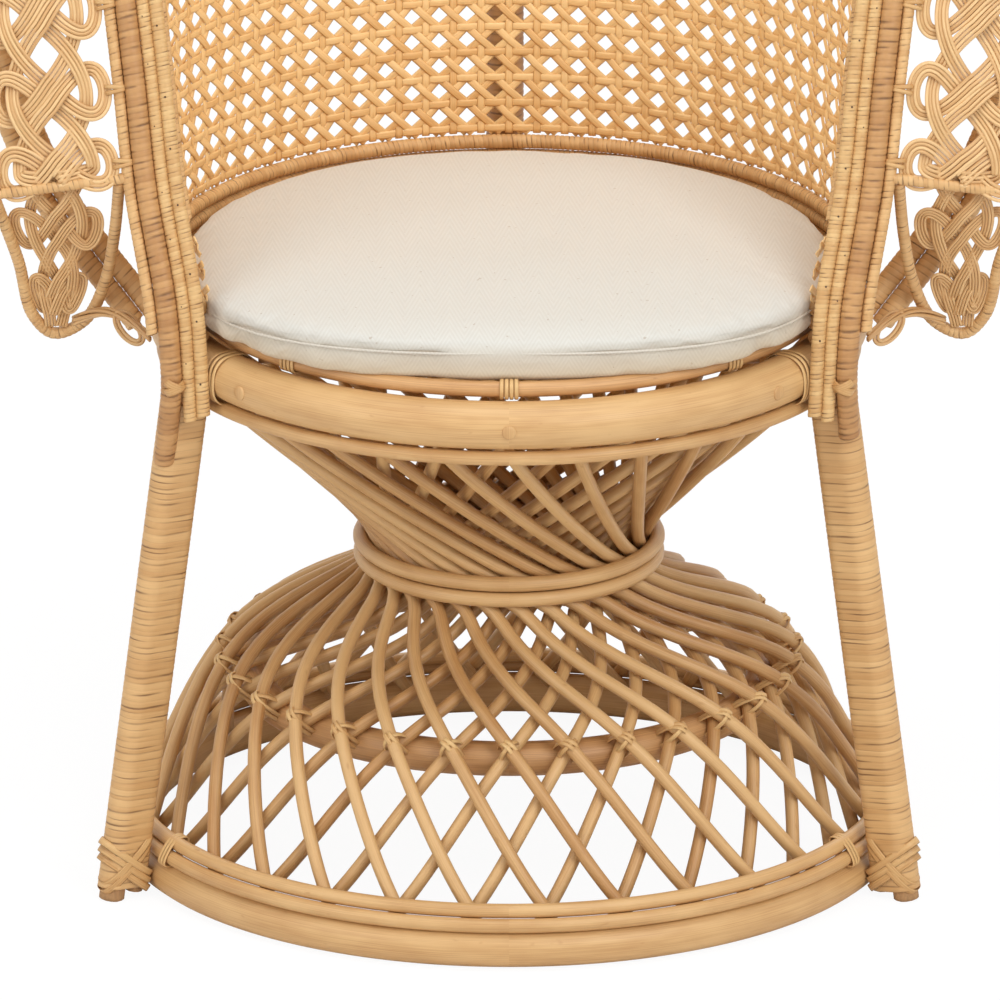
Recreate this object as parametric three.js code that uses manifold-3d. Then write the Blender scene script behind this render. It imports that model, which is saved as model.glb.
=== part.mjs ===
// A peacock chair of bent rattan poles: an hourglass base of crossing stakes, a round seat with a
// loose cushion, and a tall fan back of cane with a knotwork border.
// Millimetres, +Z up. The hourglass axis is x = y = 0 while building, the front looks along -Y.
import * as THREE from 'three';
import { mergeVertices } from 'three/addons/utils/BufferGeometryUtils.js';
import Module from 'manifold-3d';

const wasm = await Module();
wasm.setup();

// Clearance between pieces that touch, the bite of a stake into the rod that binds it to its
// neighbours, and the distance under which two vertices are one
const FIT = 0.3;
const NAIL_BITE = 2;
const WELD = 1e-3;

// Base hoop on the floor and the two thin trim hoops on it
const BASE_RADIUS = 280;
const BASE_POLE = 30;
const TRIM_POLE = 10;

// Stakes of the hourglass: outer and inner families with opposite twist, bound in groups
const STAKE_COUNT = 30;
const STAKE_GROUPS = 6;
const BINDING_POLE = 5;
const STAKE_POLE = 10;
const STAKE_FOOT_INSET = 10.5;
const STAKE_FOOT_RISE = 1;
const KNOT_RADIUS = 206;
const KNOT_HEIGHT = 148;
const WAIST_RADIUS = 98;
const WAIST_HEIGHT = 234;
const WAIST_LENGTH = 36;
const WAIST_POLE = 11;
const MID_HOOP_POLE = 26;
const MID_HOOP_DROP = 17;
const TWIST_WAIST = 60;
const TWIST_IN_WAIST = 10;
const TWIST_KNOT = 95;
const TWIST_FOOT = 115;
const UPPER_WAIST = 0.25;
const LOWER_WAIST = 0.5;
const KNOT = 0.75;
const FOOT = 1;
const STAKE_SHOULDER = 0.13;
const STAKE_STATIONS = [0, STAKE_SHOULDER, UPPER_WAIST, LOWER_WAIST, KNOT, FOOT];

// Round seat frame
const SEAT_RADIUS = 251;
const SEAT_HEIGHT = 415;
const SEAT_POLE = 36;
const UNDER_POLE = 11;
const STAKE_TOP_INSET = 13;
const STAKE_TOP_DROP = 21;
const DECK_POLE = 12;
const DECK_INSET = 11;
const DECK_THICK = 5;
const CROSS_BAR_POLE = 20;
const CROSS_BAR_SPACING = 130;
const PLUG_POLE = 11;
const PLUG_PROUD = 1.2;
const PLUG_DEPTH = 12;
const PLUG_SPREAD = 48;

// Loose cushion, with room to lift out past the barrel: squarer at its front corners than at the back,
// set forward so that the barrel's rails show behind it
const CUSHION_ROOM = 14;
const CUSHION_FORWARD = 18;
const CUSHION_THICK = 50;
const CUSHION_STATIONS = 9;
const CUSHION_FRONT_POWER = 2.3;
const CUSHION_BACK_POWER = 2.1;
const CUSHION_CROWN_SHARE = 0.05;
const CUSHION_SIDE_POWER = 0.42;
const CUSHION_CROWN_POWER = 1.15;

// Front legs: a main pole and a backing pole bound together with peel, their tops measured from the
// middle of the seat rail
const LEG_POLE = 20;
const LEG_BACKING_POLE = 14;
const LEG_WRAP = 1.5;
const LEG_WRAP_BOTTOM = 14;
const LEG_WRAP_TOP = -45;
const LEG_BACKING_TOP = -37;
const LEG_TOP = 17;
const LEG_FOOT_ANGLE = 65.8;
const LEG_SEAT_ANGLE = 61.4;
const LEG_SEAT_GAP = 1;

// Barrel of the back behind the cushion: its rails stand a little outside the seat rail's middle
const BACK_OUTSET = 7;
const BACK_RAIL_POLE = 11;
const BACK_RAIL_COUNT = 3;
const BACK_RAIL_STEPS = 14;
const BACK_RAIL_END_ANGLE = 122;
const BACK_LEAN_POWER = 1.4;
const CANE_THICK = 4;
const CANE_LIFT = 2.3;
const CANE_FLARE = 95;
const CANE_INSET = 1;
const CROWN_ROOM = 40;
const CANE_ROWS = 14;
const CANE_COLUMNS = 14;
const RIB_POLE = 22;
const RIB_STEPS = 12;
const RIB_SHARES = [0.12, 0.3, 0.5, 0.7, 0.88, 1];
const RIB_DROP = 17;

// Edge of the fan, right half, from the seat to the crown. Each place on the fan and its wings is
// measured from the seat rail: outside its middle, in degrees from the front, and above it
const EDGE_POINTS = [
  [23.87, 55.674, -19], [23.23, 57.585, 55], [23.61, 64.088, 145], [22.76, 69.248, 225],
  [25.52, 78.528, 335], [51.65, 97.595, 485], [100.6, 115.253, 625], [136.67, 131.13, 755],
  [136.74, 150.658, 850], [119, 180, 895],
];
const STRIP_POLE = 9.5;
const POST_POLE = 15;
const BORDER_RAIL_POLE = 9;
const RIM_POLE = 13;
const RIM_TRIM_POLE = 9;
const EDGE_DIVISIONS = 800;
const EDGE_STEPS = 32;
const BORDER_RAIL_FIRST = 1;
const BORDER_FIRST = 2;

// Knotwork border between the fan's edge rails and its rim: each strand is tied in loops along one
// rail and turns back in arcs short of the other
const BORDER_WIDTH = 94;
const BORDER_PITCH = 68;
const BORDER_END_ROOM = 8;
const BUNDLE_WIDTH = 10.5;
const BUNDLE_THICK = 3;
const BUNDLE_LAYER = 3.3;
const LAYER_TURN = 2.2;
const STRAND_SWAY = 23.8;
const LOOP_SWING = 20;
const LOOP_STEPS = 6;
const ARC_INSET = 14;
const ARC_SWING = 3;
const ARC_STEPS = 4;
const SLOPE_SPAN = 0.05;

// Wings: bent end frames under the border, their knots, and the struts behind
const WING_FRAME_POLE = 9;
const WING_FRAME_STEPS = 16;
const WING_FRAME_POINTS = [
  [148.04, 73.7, 120], [129.3, 76, 73], [113.79, 78.136, 25], [95.15, 78.333, 9],
  [74.52, 76.86, 21], [63.97, 74.155, 55], [59.85, 71.623, 95], [59.39, 69.638, 127],
];
const WING_KNOT_TOP = [99.85, 73.269, 111];
const WING_KNOT_BOTTOM = [92.92, 76.206, 43];
const WING_KNOT_TURNS = 2;
const WING_KNOT_STEPS = 12;
const WING_KNOT_SPAN = 40.6;
const WING_KNOT_END_SPAN = 28.6;
const WING_KNOT_SWING = 13;
const WING_KNOT_LAYER = 7;
const STRUT_POLE = 17;
const STRUT_STEPS = 6;
const STRUT_BENDS = [[83.83, 84, 112], [129.82, 86.236, 225]];
const STRUT_TOP_STEP = 4.5;

// Facets
const HOOP_STEPS = 30;
const WAIST_STEPS = 30;
const THICK_SIDES = 8;
const THIN_SIDES = 6;
const STAKE_SIDES = 5;

const RATTAN = { color: 0xd6ac74, roughness: 0.55, metalness: 0 };
const RATTAN_LIGHT = { color: 0xe4c692, roughness: 0.55, metalness: 0 };
const RATTAN_DARK = { color: 0xb98a50, roughness: 0.6, metalness: 0 };
const PEEL = { color: 0xd3a770, roughness: 0.6, metalness: 0 };
const CANE = { color: 0xd39e5d, roughness: 0.6, metalness: 0 };
const COTTON = { color: 0xece2d8, roughness: 0.95, metalness: 0 };

const chair = new THREE.Group();
chair.name = 'peacock_chair';

function addPiece(name, geometry, look) {
  const mesh = new THREE.Mesh(geometry, new THREE.MeshStandardMaterial(look));
  mesh.name = name;
  chair.add(mesh);
  return mesh;
}

const radians = THREE.MathUtils.degToRad;
const mirrored = (p) => new THREE.Vector3(-p.x, p.y, p.z);

// A point at a radius, an angle from the front towards +X, and a height
function polar(radius, angle, height) {
  return new THREE.Vector3(radius * Math.sin(angle), -radius * Math.cos(angle), height);
}

// A place measured from the seat rail
function fromSeat([outset, angle, rise]) {
  return polar(SEAT_RADIUS + outset, radians(angle), SEAT_HEIGHT + rise);
}

// Regular polygon with its flat side down, inside the circle of the given diameter
function polygon(diameter, sides) {
  const points = [];
  for (let i = 0; i < sides; i += 1) {
    const angle = ((i + 0.5) / sides) * Math.PI * 2 - Math.PI / 2;
    points.push(new THREE.Vector2(Math.cos(angle), Math.sin(angle)).multiplyScalar(diameter / 2));
  }
  return points;
}

// A straight or bent pole along a curve
function pole(curve, diameter, sides, steps) {
  const section = new THREE.Shape(polygon(diameter, sides));
  return new THREE.ExtrudeGeometry(section, { steps, extrudePath: curve, bevelEnabled: false });
}

// A level hoop round the axis, whose lowest facet is flat
function hoop(radius, height, diameter, sides, steps = HOOP_STEPS) {
  const flat = Math.cos(Math.PI / sides);
  const section = polygon(diameter / flat, sides).map((p) => new THREE.Vector2(p.x + radius, p.y));
  section.push(section[0].clone());
  const geometry = new THREE.LatheGeometry(section, steps);
  geometry.rotateX(Math.PI / 2);
  geometry.rotateZ(Math.PI / steps);
  geometry.translate(0, 0, height);
  return geometry;
}

// How far a hoop's facets reach in a direction, as a share of the radius at their corners
function facetReach(angle) {
  const step = (2 * Math.PI) / HOOP_STEPS;
  const offset = angle - Math.round(angle / step) * step;
  return Math.cos(step / 2) / Math.cos(offset);
}

// Height of a hoop that rests on another one, from their radii, poles and the lower height
function restHeight(lowerHeight, lowerRadius, lowerPole, radius, poleDiameter) {
  const reach = (lowerPole + poleDiameter) / 2 + FIT;
  return lowerHeight + Math.sqrt(reach ** 2 - (radius - lowerRadius) ** 2);
}

function closedGeometry(points, indices) {
  const geometry = new THREE.BufferGeometry();
  const positions = points.flatMap((p) => p.toArray());
  geometry.setAttribute('position', new THREE.Float32BufferAttribute(positions, 3));
  let volume = 0;
  for (let i = 0; i < indices.length; i += 3) {
    const [a, b, c] = [points[indices[i]], points[indices[i + 1]], points[indices[i + 2]]];
    volume += a.dot(b.clone().cross(c));
  }
  geometry.setIndex(volume > 0 ? indices : indices.toReversed());
  return geometry;
}

// Solid through a row of convex rings with the same number of corners
function loft(rings) {
  const corners = rings[0].length;
  const indices = [];
  for (let i = 0; i < rings.length - 1; i += 1) {
    for (let j = 0; j < corners; j += 1) {
      const a = i * corners + j;
      const b = i * corners + ((j + 1) % corners);
      indices.push(a, b, b + corners, a, b + corners, a + corners);
    }
  }
  const last = (rings.length - 1) * corners;
  for (let j = 1; j < corners - 1; j += 1) {
    indices.push(0, j + 1, j, last, last + j, last + j + 1);
  }
  return closedGeometry(rings.flat(), indices);
}

// Thin solid between two grids of points with the same rows and columns
function sheet(front, back) {
  const rows = front.length;
  const columns = front[0].length;
  const points = [...front.flat(), ...back.flat()];
  const behind = rows * columns;
  const indices = [];
  const quad = (a, b, c, d) => indices.push(a, b, c, a, c, d);
  for (let i = 0; i < rows - 1; i += 1) {
    for (let j = 0; j < columns - 1; j += 1) {
      const a = i * columns + j;
      quad(a, a + 1, a + columns + 1, a + columns);
      quad(behind + a, behind + a + columns, behind + a + columns + 1, behind + a + 1);
    }
    const left = i * columns;
    const right = left + columns - 1;
    quad(left, left + columns, behind + left + columns, behind + left);
    quad(right, behind + right, behind + right + columns, right + columns);
  }
  const top = (rows - 1) * columns;
  for (let j = 0; j < columns - 1; j += 1) {
    quad(j, behind + j, behind + j + 1, j + 1);
    quad(top + j, top + j + 1, behind + top + j + 1, behind + top + j);
  }
  return closedGeometry(points, indices);
}

function toSolid(geometry) {
  const bare = geometry.clone();
  bare.deleteAttribute('normal');
  bare.deleteAttribute('uv');
  const merged = mergeVertices(bare, WELD);
  return new wasm.Manifold(new wasm.Mesh({
    numProp: 3,
    vertProperties: merged.attributes.position.array,
    triVerts: merged.index.array,
  }));
}

function fromSolid(solid) {
  const mesh = solid.getMesh();
  const geometry = new THREE.BufferGeometry();
  geometry.setAttribute('position', new THREE.Float32BufferAttribute(mesh.vertProperties, 3));
  geometry.setIndex(Array.from(mesh.triVerts));
  return geometry;
}

// Joins closed geometries that bite into each other
function fuse(geometries) {
  return fromSolid(geometries.map(toSolid).reduce((sum, solid) => sum.add(solid)));
}

// Cuts closed geometries out of another one
function cut(geometry, tools) {
  return fromSolid(tools.map(toSolid).reduce((rest, tool) => rest.subtract(tool), toSolid(geometry)));
}

// Hourglass profile: radius, height and twist of a stake, from the seat down to the floor hoop
const profile = new THREE.CatmullRomCurve3([
  new THREE.Vector3(SEAT_RADIUS - STAKE_TOP_INSET, SEAT_HEIGHT - STAKE_TOP_DROP, 0),
  new THREE.Vector3(WAIST_RADIUS, WAIST_HEIGHT + WAIST_LENGTH / 2, TWIST_WAIST - TWIST_IN_WAIST / 2),
  new THREE.Vector3(WAIST_RADIUS, WAIST_HEIGHT - WAIST_LENGTH / 2, TWIST_WAIST + TWIST_IN_WAIST / 2),
  new THREE.Vector3(KNOT_RADIUS, KNOT_HEIGHT, TWIST_KNOT),
  new THREE.Vector3(BASE_RADIUS - STAKE_FOOT_INSET, BASE_POLE + STAKE_FOOT_RISE, TWIST_FOOT),
]);

// Radius and height on one family's own surface, outside (1) or inside (-1) the profile
function stakeStation(t, layer) {
  const at = profile.getPoint(t);
  const along = profile.getTangent(t);
  const offset = (layer * (STAKE_POLE / 2 + 2 * FIT)) / Math.hypot(along.x, along.y);
  return { radius: at.x - along.y * offset, height: at.y + along.x * offset, twist: radians(at.z) };
}

// The path of one stake, whose steps fall on the stations above
class StakePath extends THREE.Curve {
  constructor(start, layer) {
    super();
    this.points = STAKE_STATIONS.map((t) => {
      const at = stakeStation(t, layer);
      return polar(at.radius, start + layer * at.twist, at.height);
    });
  }

  getPoint(t, target = new THREE.Vector3()) {
    const place = Math.min(t * (this.points.length - 1), this.points.length - 1);
    const index = Math.min(Math.floor(place), this.points.length - 2);
    return target.lerpVectors(this.points[index], this.points[index + 1], place - index);
  }

  getUtoTmapping(u) {
    return u;
  }
}

// A level arc round the axis, to both sides of its middle angle
class LevelArc extends THREE.Curve {
  constructor(radius, middle, half, height) {
    super();
    Object.assign(this, { radius, middle, half, height });
  }

  getPoint(t) {
    return polar(this.radius, this.middle + this.half * (2 * t - 1), this.height);
  }
}

// Neighbouring stakes of one family, fused to the thin rod that binds them at a station's twist
function stakeGroup(group, layer, bindingRadius, bindingHeight, bindingTwist) {
  const size = STAKE_COUNT / STAKE_GROUPS;
  const pitch = (2 * Math.PI) / STAKE_COUNT;
  const stakes = [];
  for (let i = 0; i < size; i += 1) {
    const path = new StakePath((group * size + i) * pitch, layer);
    stakes.push(pole(path, STAKE_POLE, STAKE_SIDES, STAKE_STATIONS.length - 1));
  }
  const middle = (group + 0.5) * size * pitch - pitch / 2 + layer * radians(bindingTwist);
  const half = (size / 2) * pitch - pitch / 4;
  const arc = new LevelArc(bindingRadius, middle, half, bindingHeight);
  return fuse([pole(arc, BINDING_POLE, STAKE_SIDES, size), ...stakes]);
}

// Radius at a distance outside or inside a family's sticks, at a height between two stations
function skinRadius(height, layer, upper, lower, distance = 0) {
  const high = stakeStation(upper, layer);
  const low = stakeStation(lower, layer);
  const slope = (high.radius - low.radius) / (high.height - low.height);
  const skin = layer * (STAKE_POLE / 2 + distance) * Math.hypot(1, slope);
  return low.radius + (height - low.height) * slope + skin;
}

// Base hoops
addPiece('base_ring', hoop(BASE_RADIUS, BASE_POLE / 2, BASE_POLE, THICK_SIDES), RATTAN);
const trimPole = TRIM_POLE / Math.cos(Math.PI / THIN_SIDES);
let trimBelow = {
  radius: BASE_RADIUS,
  height: BASE_POLE / 2,
  pole: BASE_POLE / Math.cos(Math.PI / THICK_SIDES),
};
for (const name of ['base_trim_ring_lower', 'base_trim_ring_upper']) {
  const skin = skinRadius(trimBelow.height + trimBelow.pole / 2, 1, KNOT, FOOT);
  const radius = skin + trimPole / 2 + FIT;
  const height = restHeight(trimBelow.height, trimBelow.radius, trimBelow.pole, radius, trimPole);
  addPiece(name, hoop(radius, height, TRIM_POLE, THIN_SIDES), RATTAN);
  trimBelow = { radius, height, pole: trimPole };
}

// Hourglass hoops: a pair round the waist outside the stakes, and a thick one inside them
const waistSkin = stakeStation(LOWER_WAIST, 1).radius + STAKE_POLE / 2;
const waistPole = WAIST_POLE / Math.cos(Math.PI / THIN_SIDES);
const waistStep = (waistPole + FIT) / 2;
const waistRadius = waistSkin + waistPole / 2 + FIT;
for (const [name, side] of [['upper', 1], ['lower', -1]]) {
  const height = WAIST_HEIGHT + side * waistStep;
  addPiece(`waist_ring_${name}`, hoop(waistRadius, height, WAIST_POLE, THIN_SIDES, WAIST_STEPS), RATTAN);
}
const midHeight = KNOT_HEIGHT - MID_HOOP_DROP;
const midPole = MID_HOOP_POLE / Math.cos(Math.PI / THICK_SIDES);
const midRadius = skinRadius(midHeight, -1, KNOT, FOOT, midPole / 2 + FIT);
addPiece('mid_hoop', hoop(midRadius, midHeight, MID_HOOP_POLE, THICK_SIDES), RATTAN_DARK);

// Hourglass stakes: the outer groups are bound above the waist hoops, the inner ones above the thick hoop
const bindingBite = BINDING_POLE / 2 - NAIL_BITE;
const outerBinding = WAIST_HEIGHT + 2 * waistStep + BINDING_POLE / 2 + FIT;
const outerBindingRadius = skinRadius(outerBinding, 1, STAKE_SHOULDER, UPPER_WAIST, bindingBite);
const innerBinding = midHeight + (midPole + BINDING_POLE) / 2 + FIT;
const innerBindingRadius = skinRadius(innerBinding, -1, LOWER_WAIST, KNOT, bindingBite);
for (let group = 0; group < STAKE_GROUPS; group += 1) {
  const outer = stakeGroup(group, 1, outerBindingRadius, outerBinding, TWIST_WAIST - TWIST_IN_WAIST / 2);
  addPiece(`outer_stakes_${group + 1}`, outer, RATTAN);
  const inner = stakeGroup(group, -1, innerBindingRadius, innerBinding, TWIST_KNOT);
  addPiece(`inner_stakes_${group + 1}`, inner, RATTAN_DARK);
}

// Seat frame
const seatPole = SEAT_POLE / Math.cos(Math.PI / THICK_SIDES);
const seatFace = (angle) => (SEAT_RADIUS + SEAT_POLE / 2) * facetReach(angle);

// A dowel across the seat rail between two depths from its face
function dowel(angle, from, to, diameter) {
  const line = new THREE.LineCurve3(
    polar(seatFace(angle) - from, angle, SEAT_HEIGHT),
    polar(seatFace(angle) - to, angle, SEAT_HEIGHT),
  );
  return pole(line, diameter, THICK_SIDES, 1);
}

// The rail's nail holes are bored and closed with dowel plugs
const plugs = [['left', -1], ['middle', 0], ['right', 1]].map(([place, side]) => ({
  name: `seat_rail_plug_${place}`,
  angle: radians(side * PLUG_SPREAD),
}));
const plugBores = plugs.map(({ angle }) => dowel(angle, PLUG_DEPTH, -PLUG_DEPTH, PLUG_POLE + 2 * FIT));
const seatHoop = hoop(SEAT_RADIUS, SEAT_HEIGHT, SEAT_POLE, THICK_SIDES);
addPiece('seat_rail', cut(seatHoop, plugBores), RATTAN_LIGHT);
for (const { name, angle } of plugs) {
  addPiece(name, dowel(angle, PLUG_DEPTH - FIT, -PLUG_PROUD, PLUG_POLE), RATTAN);
}
const stakeTop = stakeStation(0, 1).height;
const underPole = UNDER_POLE / Math.cos(Math.PI / THIN_SIDES);
const underRadius = skinRadius(stakeTop, 1, 0, STAKE_SHOULDER) + underPole / 2 + FIT;
const underHeight = SEAT_HEIGHT - (SEAT_POLE + UNDER_POLE) / 2 - FIT;
addPiece('seat_under_ring', hoop(underRadius, underHeight, UNDER_POLE, THIN_SIDES), RATTAN);
const deckPole = DECK_POLE / Math.cos(Math.PI / THIN_SIDES);
const deckRadius = SEAT_RADIUS - DECK_INSET;
const deckHeight = restHeight(SEAT_HEIGHT, SEAT_RADIUS, seatPole, deckRadius, deckPole);
addPiece('seat_deck_hoop', hoop(deckRadius, deckHeight, DECK_POLE, THIN_SIDES), RATTAN_DARK);
const deckReach = (deckRadius - deckPole / 2 - FIT) * Math.cos(Math.PI / HOOP_STEPS);
const deckGeometry = new THREE.CylinderGeometry(deckReach, deckReach, DECK_THICK, HOOP_STEPS);
deckGeometry.rotateX(Math.PI / 2);
const deckTop = deckHeight + DECK_POLE / 2;
deckGeometry.translate(0, 0, deckTop - DECK_THICK / 2);
addPiece('seat_deck', deckGeometry, CANE);
const barDrop = (CROSS_BAR_POLE / 2) * Math.cos(Math.PI / THICK_SIDES) + FIT;
const barHeight = deckTop - DECK_THICK - barDrop;
['front', 'middle', 'rear'].forEach((place, index) => {
  const y = (index - 1) * CROSS_BAR_SPACING;
  const inside = SEAT_RADIUS - seatPole / 2 - FIT;
  const half = Math.sqrt(inside ** 2 - (Math.abs(y) + CROSS_BAR_POLE / 2) ** 2);
  const ends = [-half, half].map((x) => new THREE.Vector3(x, y, barHeight));
  const line = new THREE.LineCurve3(ends[0], ends[1]);
  addPiece(`seat_cross_bar_${place}`, pole(line, CROSS_BAR_POLE, THICK_SIDES, 1), RATTAN_DARK);
});

// A level outline of the cushion: an ellipse made squarer by a power, more so at the front
function cushionOutline(width, depth, height) {
  const outline = [];
  for (let i = 0; i < HOOP_STEPS; i += 1) {
    const angle = (i / HOOP_STEPS) * 2 * Math.PI;
    const [c, s] = [Math.cos(angle), Math.sin(angle)];
    const power = 2 / (s < 0 ? CUSHION_FRONT_POWER : CUSHION_BACK_POWER);
    const x = width * Math.sign(c) * Math.abs(c) ** power;
    const y = depth * Math.sign(s) * Math.abs(s) ** power;
    outline.push(new THREE.Vector3(x, y - CUSHION_FORWARD, height));
  }
  return outline;
}

// Cushion with a crown, drawn in to its seam at the side
const backRadius = SEAT_RADIUS + BACK_OUTSET;
const cushionRadius = backRadius - BACK_RAIL_POLE / 2 - CUSHION_ROOM;
const cushionBottom = deckTop + FIT;
const cushionDepth = cushionRadius - CUSHION_FORWARD;
const cushionRings = [];
for (let i = 0; i < CUSHION_STATIONS; i += 1) {
  const angle = (i / (CUSHION_STATIONS - 1) - 0.5) * Math.PI;
  const reach = Math.max(Math.abs(Math.cos(angle)) ** CUSHION_SIDE_POWER, CUSHION_CROWN_SHARE);
  const rise = Math.sign(angle) * Math.abs(Math.sin(angle)) ** CUSHION_CROWN_POWER;
  const height = cushionBottom + (CUSHION_THICK / 2) * (1 + rise);
  cushionRings.push(cushionOutline(cushionRadius * reach, cushionDepth * reach, height));
}
addPiece('seat_cushion', loft(cushionRings), COTTON);

// Legs: the poles lean, and are cut level at the floor
const wrapReach = (LEG_BACKING_POLE / 2 + FIT + LEG_WRAP) / Math.cos(Math.PI / THICK_SIDES);
const legReach = (LEG_POLE + LEG_BACKING_POLE) / 2 + FIT + wrapReach;
const baseSkin = BASE_RADIUS + BASE_POLE / 2;
const touchShare = (BASE_POLE / 2) * (1 + Math.tan(Math.PI / THICK_SIDES)) / SEAT_HEIGHT;
const legSeatRadius = seatFace(radians(LEG_SEAT_ANGLE)) + LEG_POLE / 2 + LEG_SEAT_GAP;
const legFootRadius = (baseSkin + legReach + 2 * FIT - legSeatRadius * touchShare) / (1 - touchShare);
const legFoot = polar(legFootRadius, radians(LEG_FOOT_ANGLE), 0);
const legSeat = polar(legSeatRadius, radians(LEG_SEAT_ANGLE), SEAT_HEIGHT);
const legLean = legSeat.clone().sub(legFoot).divideScalar(SEAT_HEIGHT);
const legInward = new THREE.Vector2(-legFoot.x, -legFoot.y).normalize();
const backingShift = legInward.clone().multiplyScalar((LEG_POLE + LEG_BACKING_POLE) / 2 + FIT);

// Leaning pole or sleeve: an outline at the floor sheared along the leg between two heights
function leaning(shape, side, bottom, top) {
  const geometry = new THREE.ExtrudeGeometry(shape, { depth: top - bottom, steps: 1, bevelEnabled: false });
  geometry.translate(0, 0, bottom);
  const shear = new THREE.Matrix4().set(
    1, 0, side * legLean.x, side * legFoot.x,
    0, 1, legLean.y, legFoot.y,
    0, 0, 1, 0,
    0, 0, 0, 1,
  );
  geometry.applyMatrix4(shear);
  return geometry;
}

// Outline round the main and the backing pole of a leg, a distance outside them
function legOutline(side, distance) {
  const axis = Math.atan2(legInward.y, side * legInward.x);
  const outline = [];
  const arcs = [
    [0, 0, LEG_POLE / 2, Math.PI / 2],
    [side * backingShift.x, backingShift.y, LEG_BACKING_POLE / 2, -Math.PI / 2],
  ];
  for (const [x, y, radius, turn] of arcs) {
    for (let i = 0; i <= THICK_SIDES / 2; i += 1) {
      const angle = axis + turn + (i / (THICK_SIDES / 2)) * Math.PI;
      const reach = (radius + distance) / Math.cos(Math.PI / THICK_SIDES);
      outline.push(new THREE.Vector2(x + reach * Math.cos(angle), y + reach * Math.sin(angle)));
    }
  }
  return outline;
}

for (const [name, side] of [['left', -1], ['right', 1]]) {
  const main = new THREE.Shape(polygon(LEG_POLE, THICK_SIDES));
  addPiece(`leg_${name}`, leaning(main, side, 0, SEAT_HEIGHT + LEG_TOP), RATTAN_DARK);
  const shift = new THREE.Vector2(side * backingShift.x, backingShift.y);
  const backing = new THREE.Shape(polygon(LEG_BACKING_POLE, THICK_SIDES).map((p) => p.add(shift)));
  addPiece(`leg_backing_${name}`, leaning(backing, side, FIT, SEAT_HEIGHT + LEG_BACKING_TOP), RATTAN_DARK);
  const wrap = new THREE.Shape(legOutline(side, FIT + LEG_WRAP));
  wrap.holes.push(new THREE.Path(legOutline(side, FIT)));
  const sleeve = leaning(wrap, side, LEG_WRAP_BOTTOM, SEAT_HEIGHT + LEG_WRAP_TOP);
  addPiece(`leg_wrap_${name}`, sleeve, PEEL);
}

// Edge of the fan as one curve from the left seat end over the crown to the right seat end
const edgePoints = EDGE_POINTS.map(fromSeat);
const crown = edgePoints.at(-1);
const edge = new THREE.CatmullRomCurve3([
  ...edgePoints.slice(0, -1).map(mirrored),
  ...edgePoints.toReversed(),
]);
edge.arcLengthDivisions = EDGE_DIVISIONS;
const edgeStations = [];
for (let i = 0; i <= EDGE_STEPS; i += 1) {
  edgeStations.push(edge.getPointAt(i / EDGE_STEPS));
}
const stationStep = edge.getLength() / EDGE_STEPS;

// Outward direction in the plane of the fan at a station, lengthened where the edge turns
function stationOutward(index) {
  const before = edgeStations[Math.max(index - 1, 0)];
  const here = edgeStations[index];
  const after = edgeStations[Math.min(index + 1, EDGE_STEPS)];
  const spans = [[before, here], [here, after]].filter(([from, to]) => from !== to);
  const normals = spans.map(([from, to]) => (
    new THREE.Vector3(from.z - to.z, 0, to.x - from.x).normalize()
  ));
  const first = normals[0];
  const last = normals.at(-1);
  return first.clone().add(last).divideScalar(1 + first.dot(last));
}
const outwards = edgeStations.map((_, index) => stationOutward(index));
const aheads = edgeStations.map((_, index) => {
  const from = edgeStations[Math.max(index - 1, 0)];
  const to = edgeStations[Math.min(index + 1, EDGE_STEPS)];
  return to.clone().sub(from).cross(outwards[index]).normalize();
});

// A place beside the edge: how many steps along it, out in the plane of the fan, forward of it
function besideEdge(along, out, forward) {
  const index = Math.min(Math.max(Math.floor(along), 0), EDGE_STEPS - 1);
  const [from, to] = [index, index + 1].map((i) => (
    edgeStations[i].clone().addScaledVector(outwards[i], out).addScaledVector(aheads[i], forward)));
  return from.lerp(to, along - index);
}

class EdgeRail extends THREE.Curve {
  constructor(first, out) {
    super();
    Object.assign(this, { first, out });
  }

  getPoint(t) {
    return besideEdge(this.first + t * (EDGE_STEPS - 2 * this.first), this.out, 0);
  }

  getUtoTmapping(u) {
    return u;
  }
}

// Rails side by side along the edge, from the cane outwards to the border and its rim
const stripSecondOut = STRIP_POLE + FIT;
const postOut = stripSecondOut + (STRIP_POLE + POST_POLE) / 2 + FIT;
const borderRailOut = postOut + (POST_POLE + BORDER_RAIL_POLE) / 2 + FIT;
const borderIn = borderRailOut + BORDER_RAIL_POLE / 2 + FIT;
const borderMiddle = borderIn + BORDER_WIDTH / 2;
const rimOut = borderIn + BORDER_WIDTH + FIT + RIM_POLE / 2;
const rimTrimOut = rimOut + (RIM_POLE + RIM_TRIM_POLE) / 2 + FIT;
const rails = [
  ['edge_strip_inner', 0, 0, STRIP_POLE, RATTAN_LIGHT],
  ['edge_strip_outer', 0, stripSecondOut, STRIP_POLE, PEEL],
  ['side_post_arch', 0, postOut, POST_POLE, PEEL],
  ['border_inner_rail', BORDER_RAIL_FIRST, borderRailOut, BORDER_RAIL_POLE, PEEL],
  ['border_rim', BORDER_FIRST, rimOut, RIM_POLE, PEEL],
  ['border_rim_trim', BORDER_FIRST, rimTrimOut, RIM_TRIM_POLE, RATTAN_LIGHT],
];
for (const [name, first, out, diameter, look] of rails) {
  addPiece(name, pole(new EdgeRail(first, out), diameter, STAKE_SIDES, EDGE_STEPS - 2 * first), look);
}

// Back line of the cane at a height, leaning back from the barrel to behind the crown
const caneSetback = (STRIP_POLE + CANE_THICK) / 2 + 3 * FIT;
function backLine(height) {
  const share = Math.max(0, (height - SEAT_HEIGHT) / (crown.z - SEAT_HEIGHT));
  return backRadius + (crown.y + caneSetback - backRadius) * share ** BACK_LEAN_POWER;
}

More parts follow.
